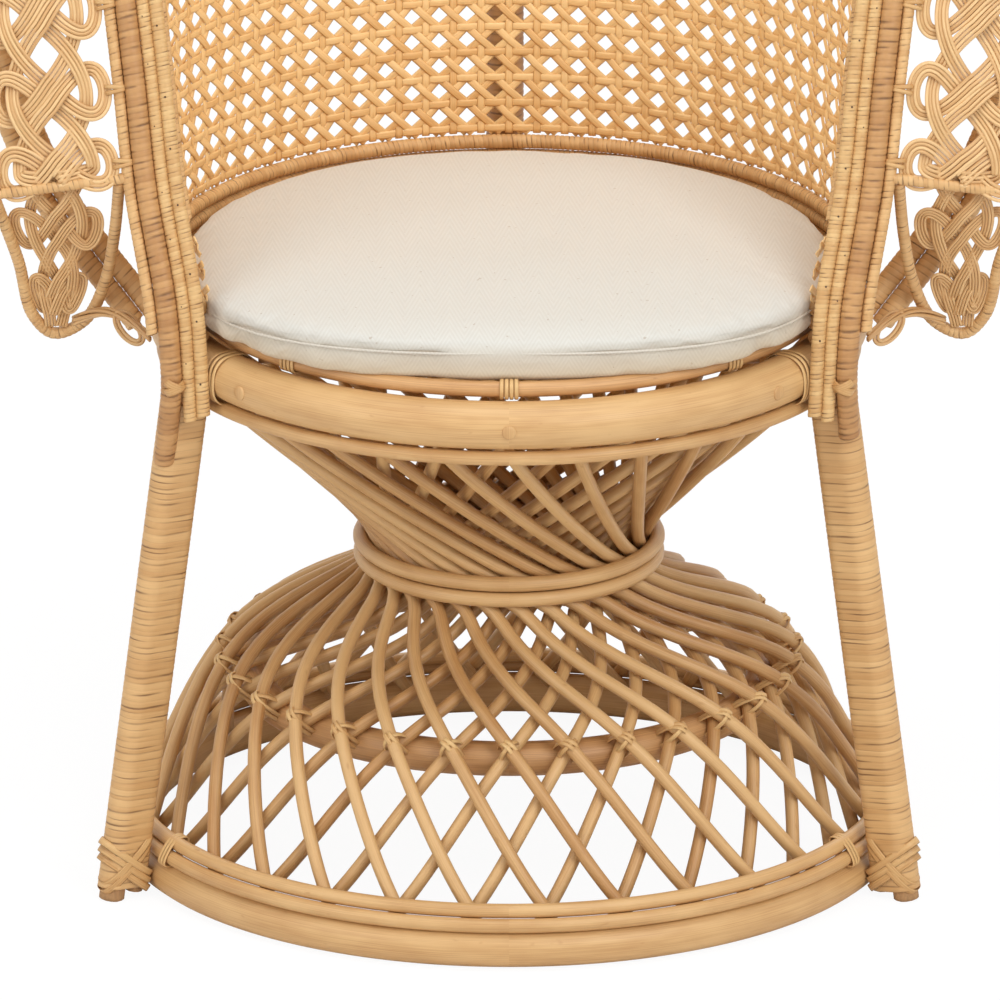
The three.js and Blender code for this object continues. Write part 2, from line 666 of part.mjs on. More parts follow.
// Level arc of the back from one edge point to its mirror image through the back line
function backArc(edgePoint, depthShift, columns) {
  const middle = backLine(edgePoint.z);
  const depth = middle - edgePoint.y;
  const radius = (edgePoint.x ** 2 + depth ** 2) / (2 * depth);
  const half = 2 * Math.atan2(depth, edgePoint.x);
  const points = [];
  const reach = radius + depthShift;
  for (let j = 0; j <= columns; j += 1) {
    const angle = half * ((2 * j) / columns - 1);
    const y = middle - radius + reach * Math.cos(angle);
    points.push(new THREE.Vector3(reach * Math.sin(angle), y, edgePoint.z));
  }
  return points;
}

// Bottom rails of the barrel, stacked on the seat rail
const firstRailHeight = restHeight(SEAT_HEIGHT, SEAT_RADIUS, seatPole, backRadius, BACK_RAIL_POLE);
let railHeight = firstRailHeight;
for (let i = 1; i <= BACK_RAIL_COUNT; i += 1) {
  const arc = new LevelArc(backRadius, Math.PI, radians(BACK_RAIL_END_ANGLE), railHeight);
  addPiece(`back_rail_${i}`, pole(arc, BACK_RAIL_POLE, THIN_SIDES, BACK_RAIL_STEPS), PEEL);
  railHeight += BACK_RAIL_POLE + FIT;
}

// Cane panel: level rows from the bottom rails to the crown, its edge behind the inner strip
const caneFront = [];
const caneBack = [];
const caneBottom = railHeight - BACK_RAIL_POLE / 2 + CANE_LIFT;
const caneFirst = (caneBottom - edgePoints[0].z) / stationStep;
const caneLast = EDGE_STEPS / 2 - CROWN_ROOM / stationStep;
for (let i = 0; i <= CANE_ROWS; i += 1) {
  const row = THREE.MathUtils.lerp(caneFirst, caneLast, i / CANE_ROWS);
  const at = besideEdge(EDGE_STEPS - row, -CANE_INSET, -caneSetback);
  const flare = THREE.MathUtils.smoothstep(at.z, caneBottom, caneBottom + CANE_FLARE);
  const onBarrel = polar(backRadius, Math.PI - radians(BACK_RAIL_END_ANGLE), at.z);
  const corner = onBarrel.lerp(at, flare);
  corner.z = at.z;
  caneFront.push(backArc(corner, -CANE_THICK / 2, CANE_COLUMNS));
  caneBack.push(backArc(corner, CANE_THICK / 2, CANE_COLUMNS));
}
addPiece('cane_panel', sheet(caneFront, caneBack), CANE);

// Centre rib behind the cane, from the seat rail to the crown
const ribBack = (CANE_THICK + RIB_POLE) / 2 + FIT;
const ribFoot = seatFace(Math.PI) + RIB_POLE / 2 + FIT;
const ribRoute = [-RIB_DROP, SEAT_POLE / 2].map((rise) => new THREE.Vector3(0, ribFoot, SEAT_HEIGHT + rise));
for (const share of RIB_SHARES) {
  const height = THREE.MathUtils.lerp(SEAT_HEIGHT, crown.z + postOut, share);
  ribRoute.push(new THREE.Vector3(0, backLine(height) + ribBack, height));
}
const ribCurve = new THREE.CatmullRomCurve3(ribRoute);
addPiece('back_centre_rib', pole(ribCurve, RIB_POLE, THIN_SIDES, RIB_STEPS), PEEL);

// A flat bundle of strands: place(t) gives its middle, forward(t) the way its face looks
function bundle(place, forward, times) {
  return loft(times.map((t) => {
    const ahead = forward(t);
    const along = place(Math.min(t + SLOPE_SPAN, times.at(-1)))
      .sub(place(Math.max(t - SLOPE_SPAN, times[0])));
    const across = along.cross(ahead).normalize().multiplyScalar(BUNDLE_WIDTH / 2);
    const up = ahead.clone().multiplyScalar(BUNDLE_THICK / 2);
    const middle = place(t);
    return [
      middle.clone().add(across).add(up),
      middle.clone().sub(across).add(up),
      middle.clone().sub(across).sub(up),
      middle.clone().add(across).sub(up),
    ];
  }));
}

// Times from one quarter turn to another, closer together on the loops than on the arcs
function strandTimes(firstQuarter, lastQuarter) {
  const times = [(firstQuarter * Math.PI) / 2];
  for (let quarter = firstQuarter; quarter < lastQuarter; quarter += 1) {
    const onLoop = Math.sin((quarter + 0.5) * (Math.PI / 2)) > 0;
    const steps = (onLoop ? LOOP_STEPS : ARC_STEPS) / 2;
    for (let i = 1; i <= steps; i += 1) {
      times.push((quarter + i / steps) * (Math.PI / 2));
    }
  }
  return times;
}

// Knotwork border: a turn of a strand holds one loop and one arc. Two strands are tied to the rim and
// two to the inner rail, each pair a pitch apart, and those on their way in lie over the others.
const loopReach = BORDER_WIDTH / 2 - BUNDLE_WIDTH / 2 - FIT;
const borderRun = (EDGE_STEPS - 2 * BORDER_FIRST) * stationStep - 2 * BORDER_END_ROOM;
const borderTurns = Math.round(borderRun / BORDER_PITCH / 2);
const advance = borderRun / (borderTurns * 2 * Math.PI);
for (const [kind, side] of [['loop', 1], ['arc', -1]]) {
  for (const [strand, ahead] of [['a', 0], ['b', 1]]) {
    const run = (t) => {
      const swing = Math.sin(t) > 0 ? LOOP_SWING : ARC_SWING;
      const level = t + Math.PI / 2 + ahead * Math.PI;
      return BORDER_END_ROOM + advance * level + STRAND_SWAY * Math.cos(t) + swing * Math.sin(2 * t);
    };
    const along = (t) => BORDER_FIRST + run(t) / stationStep;
    const out = (t) => side * Math.sin(t) * (Math.sin(t) > 0 ? loopReach : loopReach - ARC_INSET);
    const lift = (t) => -BUNDLE_LAYER * side * THREE.MathUtils.clamp(LAYER_TURN * Math.cos(t), -1, 1);
    const place = (t) => besideEdge(along(t), borderMiddle + out(t), lift(t));
    const forward = (t) => besideEdge(along(t), 0, 1).sub(besideEdge(along(t), 0, 0)).normalize();
    const times = strandTimes(-1 - ahead, 4 * borderTurns - 1 - 3 * ahead);
    addPiece(`border_${kind}_strand_${strand}`, bundle(place, forward, times), RATTAN_LIGHT);
  }
}

// Struts of the right wing: nailed to the side of the lowest back rail, leaning behind the border's rim
const strutAngle = Math.PI - radians(BACK_RAIL_END_ANGLE) * (1 - 2 / BACK_RAIL_STEPS);
const strutFootGap = ((BACK_RAIL_POLE + STRUT_POLE) / 2) * Math.cos(Math.PI / THIN_SIDES) - 2 * FIT;
const rimBack = ((RIM_POLE + STRUT_POLE) / 2) * Math.cos(Math.PI / STAKE_SIDES) + FIT;
const strutInner = [
  polar(backRadius + strutFootGap, strutAngle, firstRailHeight),
  ...STRUT_BENDS.map(fromSeat),
  besideEdge(EDGE_STEPS - STRUT_TOP_STEP, rimOut, -rimBack),
];
const strutPitch = STRUT_POLE * Math.cos(Math.PI / THIN_SIDES) + 2 * FIT;
const strutOuter = strutInner.map((point, index) => {
  const along = strutInner[Math.min(index + 1, strutInner.length - 1)].clone();
  along.sub(strutInner[Math.max(index - 1, 0)]).normalize();
  const aside = new THREE.Vector3(1, 0, 0).addScaledVector(along, -along.x).normalize();
  return point.clone().addScaledVector(aside, strutPitch);
});

// Wings: end frame, its knot and the pair of struts behind the border
for (const [name, side] of [['left', -1], ['right', 1]]) {
  const onSide = (p) => new THREE.Vector3(side * p.x, p.y, p.z);
  const frame = new THREE.CatmullRomCurve3(WING_FRAME_POINTS.map(fromSeat).map(onSide));
  addPiece(`wing_frame_${name}`, pole(frame, WING_FRAME_POLE, STAKE_SIDES, WING_FRAME_STEPS), PEEL);
  const top = onSide(fromSeat(WING_KNOT_TOP));
  const down = onSide(fromSeat(WING_KNOT_BOTTOM)).sub(top);
  const drop = down.length();
  down.normalize();
  const across = new THREE.Vector3(side, 0, 0);
  const ahead = new THREE.Vector3(0, down.z, -down.y).normalize();
  const turns = WING_KNOT_TURNS * 2 * Math.PI;
  const edgeRoom = (WING_FRAME_POLE + BUNDLE_WIDTH) / 2 + FIT;
  const reach = (t) => THREE.MathUtils.lerp(WING_KNOT_SPAN, WING_KNOT_END_SPAN, t / turns) - edgeRoom;
  const place = (t) => top.clone()
    .addScaledVector(down, (drop * t) / turns + WING_KNOT_SWING * Math.sin(2 * t))
    .addScaledVector(across, reach(t) * Math.sin(t))
    .addScaledVector(ahead, WING_KNOT_LAYER * THREE.MathUtils.clamp(LAYER_TURN * Math.cos(t), -1, 1));
  const steps = WING_KNOT_TURNS * WING_KNOT_STEPS;
  const times = Array.from({ length: steps + 1 }, (_, i) => (turns * i) / steps);
  addPiece(`wing_knot_${name}`, bundle(place, () => ahead, times), RATTAN);
  for (const [row, route] of [['inner', strutInner], ['outer', strutOuter]]) {
    const line = new THREE.CatmullRomCurve3(route.map(onSide));
    addPiece(`wing_strut_${row}_${name}`, pole(line, STRUT_POLE, THIN_SIDES, STRUT_STEPS), PEEL);
  }
}

// The origin is the middle of the footprint on the floor
chair.updateMatrixWorld(true);
const bounds = new THREE.Box3().setFromObject(chair, true);
const centre = bounds.getCenter(new THREE.Vector3());
chair.position.set(-centre.x, -centre.y, -bounds.min.z);

export default chair;
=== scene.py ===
"""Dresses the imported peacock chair: bare rattan poles, poles wound with peel, woven cane, a knotwork
border, lashings and a loose cotton cushion. Shapes are worked out in millimetres with the hourglass
axis at x = y = 0 and the front along -Y, and placed in the frame in metres."""

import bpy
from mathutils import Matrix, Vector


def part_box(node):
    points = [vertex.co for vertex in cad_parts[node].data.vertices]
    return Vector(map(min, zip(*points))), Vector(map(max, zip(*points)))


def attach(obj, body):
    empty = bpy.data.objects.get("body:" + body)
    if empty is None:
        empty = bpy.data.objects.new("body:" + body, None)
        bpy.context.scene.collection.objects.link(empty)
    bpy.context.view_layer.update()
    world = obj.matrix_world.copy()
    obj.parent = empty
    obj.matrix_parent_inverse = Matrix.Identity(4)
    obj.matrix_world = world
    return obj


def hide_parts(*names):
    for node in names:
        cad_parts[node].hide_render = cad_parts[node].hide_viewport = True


bl_info = {
    "name": "Peacock Chair",
    "version": (1, 0, 0),
    "blender": (4, 5, 0),
    "location": "3D View > Sidebar > Chair",
    "description": "Rattan, peel, cane, knotwork and cushion of a peacock chair",
    "category": "Add Mesh",
}

import bpy
import numpy as np
from mathutils import Vector

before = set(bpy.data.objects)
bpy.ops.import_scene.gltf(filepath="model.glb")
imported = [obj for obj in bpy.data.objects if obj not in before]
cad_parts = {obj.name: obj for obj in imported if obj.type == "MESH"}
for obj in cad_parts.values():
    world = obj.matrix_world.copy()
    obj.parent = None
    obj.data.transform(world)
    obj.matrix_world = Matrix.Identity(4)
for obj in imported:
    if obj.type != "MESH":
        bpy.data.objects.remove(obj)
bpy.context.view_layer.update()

# Hourglass axis in the frame, in mm
AXIS_Y = 500.0 * (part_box("base_ring")[0].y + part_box("base_ring")[1].y)

# Base hoops: radius, height and pole
BASE_RING = (280.0, 15.0, 30.0)
TRIM_RINGS = ((287.6, 34.3, 11.0), (281.8, 44.0, 11.0))
WAIST_HEIGHTS = (240.2, 227.8)
WAIST_POLE = 11.4
MID_HEIGHT = 131.0
MID_POLE = 26.0

# Hourglass profile: radius, height and twist in degrees of a stake, from the seat down
STAKE_PROFILE = ((238, 394, 0), (98, 252, 55), (98, 216, 65), (206, 148, 95), (269.5, 31, 115))
STAKE_COUNT = 30
STAKE_LAYER = 5.6
CROSSING_TWIST = 108.0

# Lashings of the crossings: how far they lie before the outer stake's middle, and a band's width and
# thickness
CROSSING_FRONT = 6.2
CROSSING_BAND = (3.4, 1.3)

# Twist above and in the waist: nearest pass of a straight stick, heights of the waist, twists there
STICK_PASS = 90.0
WAIST_SPAN = (252.0, 216.0)
WAIST_TWISTS = (44.5, 77.0)
LOWER_TWIST_SHIFT = 12.0

# Seat: radius, height and pole of its hoops
SEAT_RADIUS = 251.0
SEAT_HEIGHT = 415.0
SEAT_RAIL = (SEAT_RADIUS, SEAT_HEIGHT, 36.0)
UNDER_RING = (257.2, 391.2, 11.0)
DECK_HOOP = (240.0, 439.3, 12.0)
DECK_TOP = 445.3
DECK_REACH = 233.0
PLUG_ANGLES = (-48.0, 0.0, 48.0)
PLUG_PROFILE = ((0, -9), (5.4, -9), (5.4, 0.2), (5.0, 0.7), (3.2, 0.95), (0, 1.0))
DECK_TIE_ANGLES = (-42.0, 0.0, 43.0)
RAIL_TIE_ANGLES = (-55.5, 55.5)
CROSS_BARS = ((-130.0, 186.0), (0.0, 231.0), (130.0, 186.0))
CROSS_BAR_HEIGHT = 430.8
CROSS_BAR_RADIUS = 9.4

# Deck weave: distance between strips, and a strip's width and thickness
DECK_PITCH = 15.0
DECK_STRIP = (12.5, 1.1)

# Legs, right side: foot, seat end, step from the main to the backing pole, radii of both, and
# heights between which both, and the main pole alone, are wound
LEG_FOOT = (296.24, -133.14, 0.0)
LEG_SEAT = (244.61, -133.37, 415.0)
LEG_STEP = 17.3
LEG_RADII = (10.0, 7.0)
LEG_WINDING = (7.0, 395.0)
LEG_TOP_WINDING = (372.0, 431.0)
LEG_INWARD = (-0.912, 0.41, 0.0)

# Edge of the fan, right half: outside the seat rail's middle, degrees from the front, above the seat
EDGE_POINTS = (
    (23.87, 55.674, -19), (23.23, 57.585, 55), (23.61, 64.088, 145), (22.76, 69.248, 225),
    (25.52, 78.528, 335), (51.65, 97.595, 485), (100.6, 115.253, 625), (136.67, 131.13, 755),
    (136.74, 150.658, 850), (119, 180, 895),
)
EDGE_STATIONS = 32
STRIP_OUTS = (0.0, 9.8)
POST_OUT = 22.35
BORDER_RAIL_OUT = 34.65
BORDER_MIDDLE = 86.45
RIM_OUT = 140.25
RIM_TRIM_OUT = 151.55
LOOP_REACH = 41.45
ARC_REACH = 27.45
RIM_RADIUS = 6.5
BORDER_RAIL_RADIUS = 4.5

# Border pattern: turns, strands in a bundle, stations and room left at each end, sway and swings along
# the edge, end arcs, how far and over what length the ends are drawn together, lift at a crossing, place
# of the rails across its ends, and distance from its middle at which the ties begin
BORDER_TURNS = 16
BUNDLE = 4
BORDER_ENDS = 2
BORDER_ROOM = 8.0
STRAND_SWAY = 23.8
LOOP_SWING = 20.0
ARC_SWING = 3.0
END_ARC = 9.0
END_PULL = 22.0
END_SPAN = 70.0
STRAND_LIFT = 3.0
CROSS_RAIL_RUN = 19.0
TIE_FROM = 42.0

# Lower end of the side post, right side, and the nail heads' profile of radius and height
POST_TAIL = ((256.0, -139.0, 345.0), (252.5, -147.0, 368.0))
NAIL_PROFILE = ((0, -0.6), (0.85, -0.6), (0.8, 0.1), (0.5, 0.35), (0, 0.45))
NAIL_STEP = 44.0

# Barrel and cane
BACK_RADIUS = 258.0
BACK_RAIL_HEIGHTS = (439.3, 450.6, 461.9)
BACK_END = 122.0
CANE_BOTTOM = 468.0
CANE_FLARE = (470.0, 565.0)
CANE_SETBACK = 7.65
CANE_THICK = 1.05
CANE_WAVE = 0.9

# Rib behind the cane: radius, foot, and shares of the height to the crown at which it is carried on
RIB_RADIUS = 14.2
RIB_FOOT = ((-3.0, 283.5, 398.0), (-3.0, 283.5, 433.0))
RIB_SHARES = (0.12, 0.3, 0.5, 0.7, 0.88, 1.0)

# Beside the cushion: how far the cane is drawn in, between which heights, and degrees off each rail's end
CANE_TUCK = 9.0
CANE_TUCK_SPAN = (520.0, 600.0)
RAIL_SHORT = 3.0

# Wings, right side: bow, middle of its knot by the length down, the knot's half widths there and their
# clearance, its first crossing, advance, sway, swings, reach of its arcs and lift, and the struts
WING_FRAME = (
    (385, -121, 558), (378, -112, 535), (364, -92, 488), (354, -76, 441), (338, -70, 424),
    (315, -74, 436), (300, -86, 470), (293, -98, 510), (290, -108, 542), (289, -116, 560),
)
WING_RUN = (-30.0, 0.0, 52.0, 105.0, 120.0)
WING_MIDDLE = ((338, -112, 570), (337, -108, 540), (334, -93, 490), (336, -76, 440), (337, -74, 426))
KNOT_RUNS = (0.0, 52.0, 105.0)
KNOT_WIDTHS = (46.0, 35.0, 21.0)
KNOT_CLEAR = 10.5
KNOT_TOP = 24.0
KNOT_ADVANCE = 19.1
KNOT_SWAY = 18.0
KNOT_LOOP_SWING = 17.0
KNOT_ARC_SWING = 2.0
KNOT_ARC_SHARE = 0.62
KNOT_LIFT = 2.6
STRUT_BENDS = ((333, -35, 527), (380, -25, 640))
STRUT_FOOT_ANGLE = 75.43
STRUT_REACH = 8.2

# Cushion: powers of its outline in front and behind and of its profile above and below the seam, the
# share kept of the stuffing's unevenness, frames and pressure of its simulation, the cover's voxel in
# metres, steps of tilt, the seam's depth below the middle and the front's sag
CUSHION_OUTLINE = (2.55, 2.1)
CUSHION_PROFILE = (2.45, 14.0)
STUFFING_SHARE = 0.3
STUFFING_FRAMES = 20
STUFFING_PRESSURE = 4.0
COVER_VOXEL = 0.0055
TILT_STEPS = 60
SEAM_DROP = 5.0
FRONT_SAG = 5.0

# Names of the node groups
GRAIN, WINDING, WEAVE = "Rattan grain", "Peel winding", "Cotton weave"

# Rows of faces in one turn of wound peel
PEEL_ROWS = 4

# Camera of the view: aim and distance in metres, elevation in degrees, lens in mm
VIEW_AIM = (-0.0067, 0.001 * AXIS_Y, 0.2675)
VIEW_DISTANCE = 30.0
VIEW_ELEVATION = 19.5
VIEW_LENS = 1447.3

# Share of the floor that glows white to the camera, over the shadow, and the world's strength as light
FLOOR_GLOW = 0.9
SKY_LIGHT = 0.5

# Lamps: name, place and size in metres, and power in watts
LAMPS = (
    ("Key lamp", (2.6, -4.2, 3.6), 2.6, 126.0),
    ("Fill lamp", (-3.4, -3.0, 2.6), 3.0, 60.0),
    ("Back lamp", (0.4, 3.6, 3.6), 3.0, 60.0),
    ("Top lamp", (0.0, -0.7, 4.2), 2.2, 54.0),
)

UP = np.array((0, 0, 1.0))


def srgb(red, green, blue):
    """Linear colour of an 8-bit screen colour, by the usual two-part curve."""
    c = np.array((red, green, blue)) / 255.0
    return tuple(np.where(c <= 0.04045, c / 12.92, ((c + 0.055) / 1.055) ** 2.4))


def unit(v):
    """Vectors scaled to length 1 along the last axis."""
    return v / np.maximum(np.linalg.norm(v, axis=-1, keepdims=True), 1e-9)


def polar(radius, degrees, height):
    """Points at a radius, an angle from the front towards +X and a height."""
    a = np.radians(degrees)
    return np.stack(np.broadcast_arrays(radius * np.sin(a), -radius * np.cos(a), height), axis=-1)


def from_seat(places):
    """Places given as outside the seat rail, degrees from the front and above the seat."""
    p = np.asarray(places, float)
    return polar(SEAT_RADIUS + p[:, 0], p[:, 1], SEAT_HEIGHT + p[:, 2])


def flipped(points):
    """The same points on the other side of the chair."""
    return np.asarray(points, float) * (-1.0, 1.0, 1.0)


def smoothstep(x, low, high):
    """0 below low, 1 above high and 3t^2 - 2t^3 between."""
    t = np.clip((np.asarray(x) - low) / (high - low), 0.0, 1.0)
    return t * t * (3.0 - 2.0 * t)


def wobble(x, seed):
    """A smooth uneven wave of about unit height: three sines of unrelated pitch, shifted by a seed."""
    return (np.sin(1.7 * x + 2.1 * seed) + np.sin(0.61 * x + 5.3 * seed) + np.sin(0.233 * x + 1.1 * seed)) / 3.0


def level_way(degrees):
    """The level direction across the radius at an angle from the front."""
    a = np.radians(degrees)
    return np.array((np.cos(a), np.sin(a), 0.0))


def lengths(points):
    """Running length along a polyline, from 0."""
    return np.concatenate([[0.0], np.cumsum(np.linalg.norm(np.diff(points, axis=0), axis=1))])


def evenly(points, step):
    """Points a step apart along a polyline, found by its running length."""
    run = lengths(points)
    at = np.linspace(0.0, run[-1], max(int(round(run[-1] / step)), 2) + 1)
    return np.stack([np.interp(at, run, points[:, k]) for k in range(points.shape[1])], axis=1)


def through(corners, per_span=60):
    """Centripetal Catmull-Rom curve through corners: each span is a cubic whose end slopes come from
    the neighbouring corners, weighted by the square roots of their distances."""
    p = np.asarray(corners, float)
    p = np.vstack([2 * p[0] - p[1], p, 2 * p[-1] - p[-2]])
    gap = np.sqrt(np.linalg.norm(np.diff(p, axis=0), axis=1))[:, None]
    g0, g1, g2 = gap[:-2], gap[1:-1], gap[2:]
    a, b, c, d = p[:-3], p[1:-2], p[2:-1], p[3:]
    m1 = ((b - a) / g0 - (c - a) / (g0 + g1) + (c - b) / g1) * g1
    m2 = ((c - b) / g1 - (d - b) / (g1 + g2) + (d - c) / g2) * g1
    t = np.linspace(0.0, 1.0, per_span, endpoint=False)[None, :, None]
    b, c, m1, m2 = (v[:, None] for v in (b, c, m1, m2))
    spans = b + m1 * t + (3 * (c - b) - 2 * m1 - m2) * t ** 2 + (2 * (b - c) + m1 + m2) * t ** 3
    return np.vstack([spans.reshape(-1, p.shape[1]), p[-2]])


def directions(path, hint, closed=False):
    """Along, side and other direction at each point of a path: side is the hint squared to the path,
    other completes a right-handed set."""
    along = np.roll(path, -1, 0) - np.roll(path, 1, 0) if closed else np.gradient(path, axis=0)
    along = unit(along)
    hint = np.broadcast_to(np.asarray(hint, float), path.shape)
    side = unit(hint - np.sum(hint * along, axis=1, keepdims=True) * along)
    return along, side, np.cross(along, side)


def circle(sides):
    """Corners of a unit circle, anticlockwise."""
    a = 2 * np.pi * np.arange(sides) / sides
    return np.stack([np.cos(a), np.sin(a)], axis=1)


def strip_section(width, thick):
    """Flat strip with rounded edges: six corners, thickness along the side direction."""
    w, t = width / 2, thick / 2
    return np.array([(t, -0.55 * w), (t, 0.55 * w), (0, w), (-t, 0.55 * w), (-t, -0.55 * w), (0, -w)])


def grid_quads(n, m, closed=False, ringed=True):
    """Corner numbers of the faces of an n by m grid of points, joined to its start along n where it is
    closed and along m where it is ringed."""
    i = np.arange(n if closed else n - 1)[:, None]
    j = np.arange(m if ringed else m - 1)[None]
    k, l = (i + 1) % n, (j + 1) % m
    return np.stack([i * m + j, i * m + l, k * m + l, k * m + j], axis=-1).reshape(-1, 4)


def tube(path, radius, sides=10, hint=(0, 0, 1), closed=False, tone=0.5, section=None):
    """A profile carried along a path: point (i, j) is path i plus the profile's corner j in the side
    and other directions there. The map's u is the length along and v the length around, in metres."""
    path = np.asarray(path, float)
    _, side, other = directions(path, hint, closed)
    corners = circle(sides) if section is None else section
    reach = np.broadcast_to(np.asarray(radius, float), (len(path),))[:, None, None]
    offset = corners[None] * reach
    points = path[:, None] + side[:, None] * offset[..., :1] + other[:, None] * offset[..., 1:]
    n, m = points.shape[:2]
    i = np.arange(n if closed else n - 1)[:, None]
    j = np.arange(m)[None]
    quads = grid_quads(n, m, closed)
    run = lengths(np.vstack([path, path[:1]]) if closed else path) / 1000.0 + 3.7 * tone
    around = lengths(np.vstack([corners, corners[:1]]) * float(np.mean(reach))) / 1000.0
    u = np.stack([run[i] + 0 * j, run[i] + 0 * j, run[i + 1] + 0 * j, run[i + 1] + 0 * j], axis=-1)
    v = np.stack([around[j] + 0 * i, around[j + 1] + 0 * i, around[j + 1] + 0 * i, around[j] + 0 * i], axis=-1)
    uv = np.stack([u, v], axis=-1).reshape(-1, 2)
    faces = [quads.ravel()]
    sizes = [np.full(len(quads), 4)]
    if not closed:
        faces += [np.arange(m)[::-1], (n - 1) * m + np.arange(m)]
        sizes += [np.array([m]), np.array([m])]
        uv = np.vstack([uv, np.column_stack([np.full(m, run[0]), around[:m][::-1]]),
                        np.column_stack([np.full(m, run[-1]), around[:m]])])
    return points.reshape(-1, 3), np.concatenate(faces), np.concatenate(sizes), uv, np.full(n * m, tone)


def wound(path, radius, turn, ridge=0.5, sides=10, hint=(0, 1, 0), seed=0.0, wander=0.16,
          section=None, normals=None):
    """A pole wound with peel. Row i runs round the pole as a screw line: point (i, j) lies at the
    length turn x (i / rows + j / sides) and at the angle of corner j, so each peel turn is PEEL_ROWS
    rows wide, highest in its middle and lowest at the slit to the next turn. The map's u counts turns
    and v goes once round."""
    rows = PEEL_ROWS
    path = evenly(np.asarray(path, float), min(turn, 4.0))
    _, side, other = directions(path, hint)
    corners = circle(sides) * radius if section is None else section
    normals = circle(sides) if normals is None else normals
    m = len(corners)
    run = lengths(path)
    turns = max(int(run[-1] / turn) - 1, 2)
    pitch = run[-1] / (turns + 1)
    i = np.arange(rows * turns + 1)[:, None]
    j = np.arange(m)[None]
    q = i / rows + j / m
    window = np.clip(np.minimum(q, turns + 1 - q) / 2.0, 0.0, 1.0)
    s = pitch * (q + wander * window * wobble(q * 2.2, seed))
    place, across, up = (np.stack([np.interp(s, run, a[:, k]) for k in range(3)], axis=-1)
                         for a in (path, side, other))
    fall = ridge * (np.abs(np.sin(np.pi * i / rows)) ** 0.6 - 1.0)
    offset = corners[None] + normals[None] * fall[..., None]
    points = place + across * offset[..., :1] + up * offset[..., 1:]
    n = len(i)
    a = np.arange(n - 1)[:, None]
    b = np.arange(m - 1)[None]
    quads = grid_quads(n, m, ringed=False)
    u = np.stack([a + 0 * b, a + 0 * b, a + 1 + 0 * b, a + 1 + 0 * b], axis=-1) / rows
    v = np.stack([b + 0 * a, b + 1 + 0 * a, b + 1 + 0 * a, b + 0 * a], axis=-1) / m
    c = np.arange(n - 1 - rows)
    seam = np.stack([c * m + m - 1, (c + rows) * m, (c + 1 + rows) * m, (c + 1) * m + m - 1], axis=-1)
    seam_u = np.stack([c, c, c + 1, c + 1], axis=-1) / rows
    seam_v = np.broadcast_to(np.array([(m - 1) / m, 1.0, 1.0, (m - 1) / m]), seam.shape)
    first = np.concatenate([np.arange(m), np.arange(rows, 0, -1) * m])[::-1]
    last = np.concatenate([(n - 1) * m + np.arange(m), np.arange(n - 2, n - 1 - rows, -1) * m + m - 1])
    loops = np.concatenate([quads.ravel(), seam.ravel(), first, last])
    sizes = np.concatenate([np.full(len(quads) + len(seam), 4), [len(first), len(last)]])
    caps = np.full((len(first) + len(last), 2), 0.5)
    uv = np.vstack([np.column_stack([u.ravel(), v.ravel()]),
                    np.column_stack([seam_u.ravel(), seam_v.ravel()]), caps])
    uv[:, 0] += np.floor(40 * seed)
    return points.reshape(-1, 3), loops, sizes, uv, np.full(n * m, 0.5)


def revolved(profile, steps, centre=(0, 0, 0), axis=(0, 0, 1), hint=(0, 1, 0), tone=0.5):
    """A profile of radius and height turned about an axis: ring i at profile point i. Its first and
    last point lie on the axis and close as fans of triangles."""
    axis = unit(np.asarray(axis, float))
    side = unit(np.asarray(hint, float) - np.dot(hint, axis) * axis)
    other = np.cross(axis, side)
    profile = np.asarray(profile, float)
    turn = circle(steps)
    ring = turn[:, :1] * side + turn[:, 1:] * other
    inner = profile[1:-1]
    points = (np.asarray(centre, float) + inner[:, 1, None, None] * axis + inner[:, 0, None, None] * ring[None])
    n, m = points.shape[:2]
    poles = np.asarray(centre, float) + profile[[0, -1], 1][:, None] * axis
    quads = grid_quads(n, m)
    j = np.arange(m)
    k = (j + 1) % m
    low = np.stack([np.full(m, n * m), k, j], axis=-1)
    high = np.stack([(n - 1) * m + j, (n - 1) * m + k, np.full(m, n * m + 1)], axis=-1)
    loops = np.concatenate([quads.ravel(), low.ravel(), high.ravel()])
    sizes = np.concatenate([np.full(len(quads), 4), np.full(2 * m, 3)])
    points = np.vstack([points.reshape(-1, 3), poles])
    local = points - np.asarray(centre, float)
    uv = np.column_stack([local @ side, local @ other])[loops] / 1000.0
    return points, loops, sizes, uv, np.full(len(points), tone)


def hoop(radius, height, pole, steps=120, sides=16, tone=0.5):
    """A level ring round the axis."""
    path = polar(radius, np.arange(steps) * (360.0 / steps), height)
    return tube(path, pole / 2, sides, hint=(0, 0, 1), closed=True, tone=tone)


def oval_loop(centre, a, b, half_a, half_b, width=3.0, thick=1.2, tone=0.5, steps=22):
    """A closed band of peel round an oval in the plane of the directions a and b: a superellipse of
    power 2.6 between the two half lengths."""
    t = 2 * np.pi * np.arange(steps) / steps
    c, s = np.cos(t), np.sin(t)
    reach_a = half_a * np.sign(c) * np.abs(c) ** (2 / 2.6)
    reach_b = half_b * np.sign(s) * np.abs(s) ** (2 / 2.6)
    path = np.asarray(centre, float) + reach_a[:, None] * a + reach_b[:, None] * b
    outward = c[:, None] * a / half_a + s[:, None] * b / half_b
    return tube(path, 1.0, hint=outward, closed=True, tone=tone, section=strip_section(width, thick))


def joined(surfaces):
    """Several surfaces as one, with the corner numbers moved on."""
    points, loops, sizes, uv, tone = zip(*surfaces)
    first = np.concatenate([[0], np.cumsum([len(p) for p in points])[:-1]])
    return (np.vstack(points), np.concatenate([l + f for l, f in zip(loops, first)]),
            np.concatenate(sizes), np.vstack(uv), np.concatenate(tone))


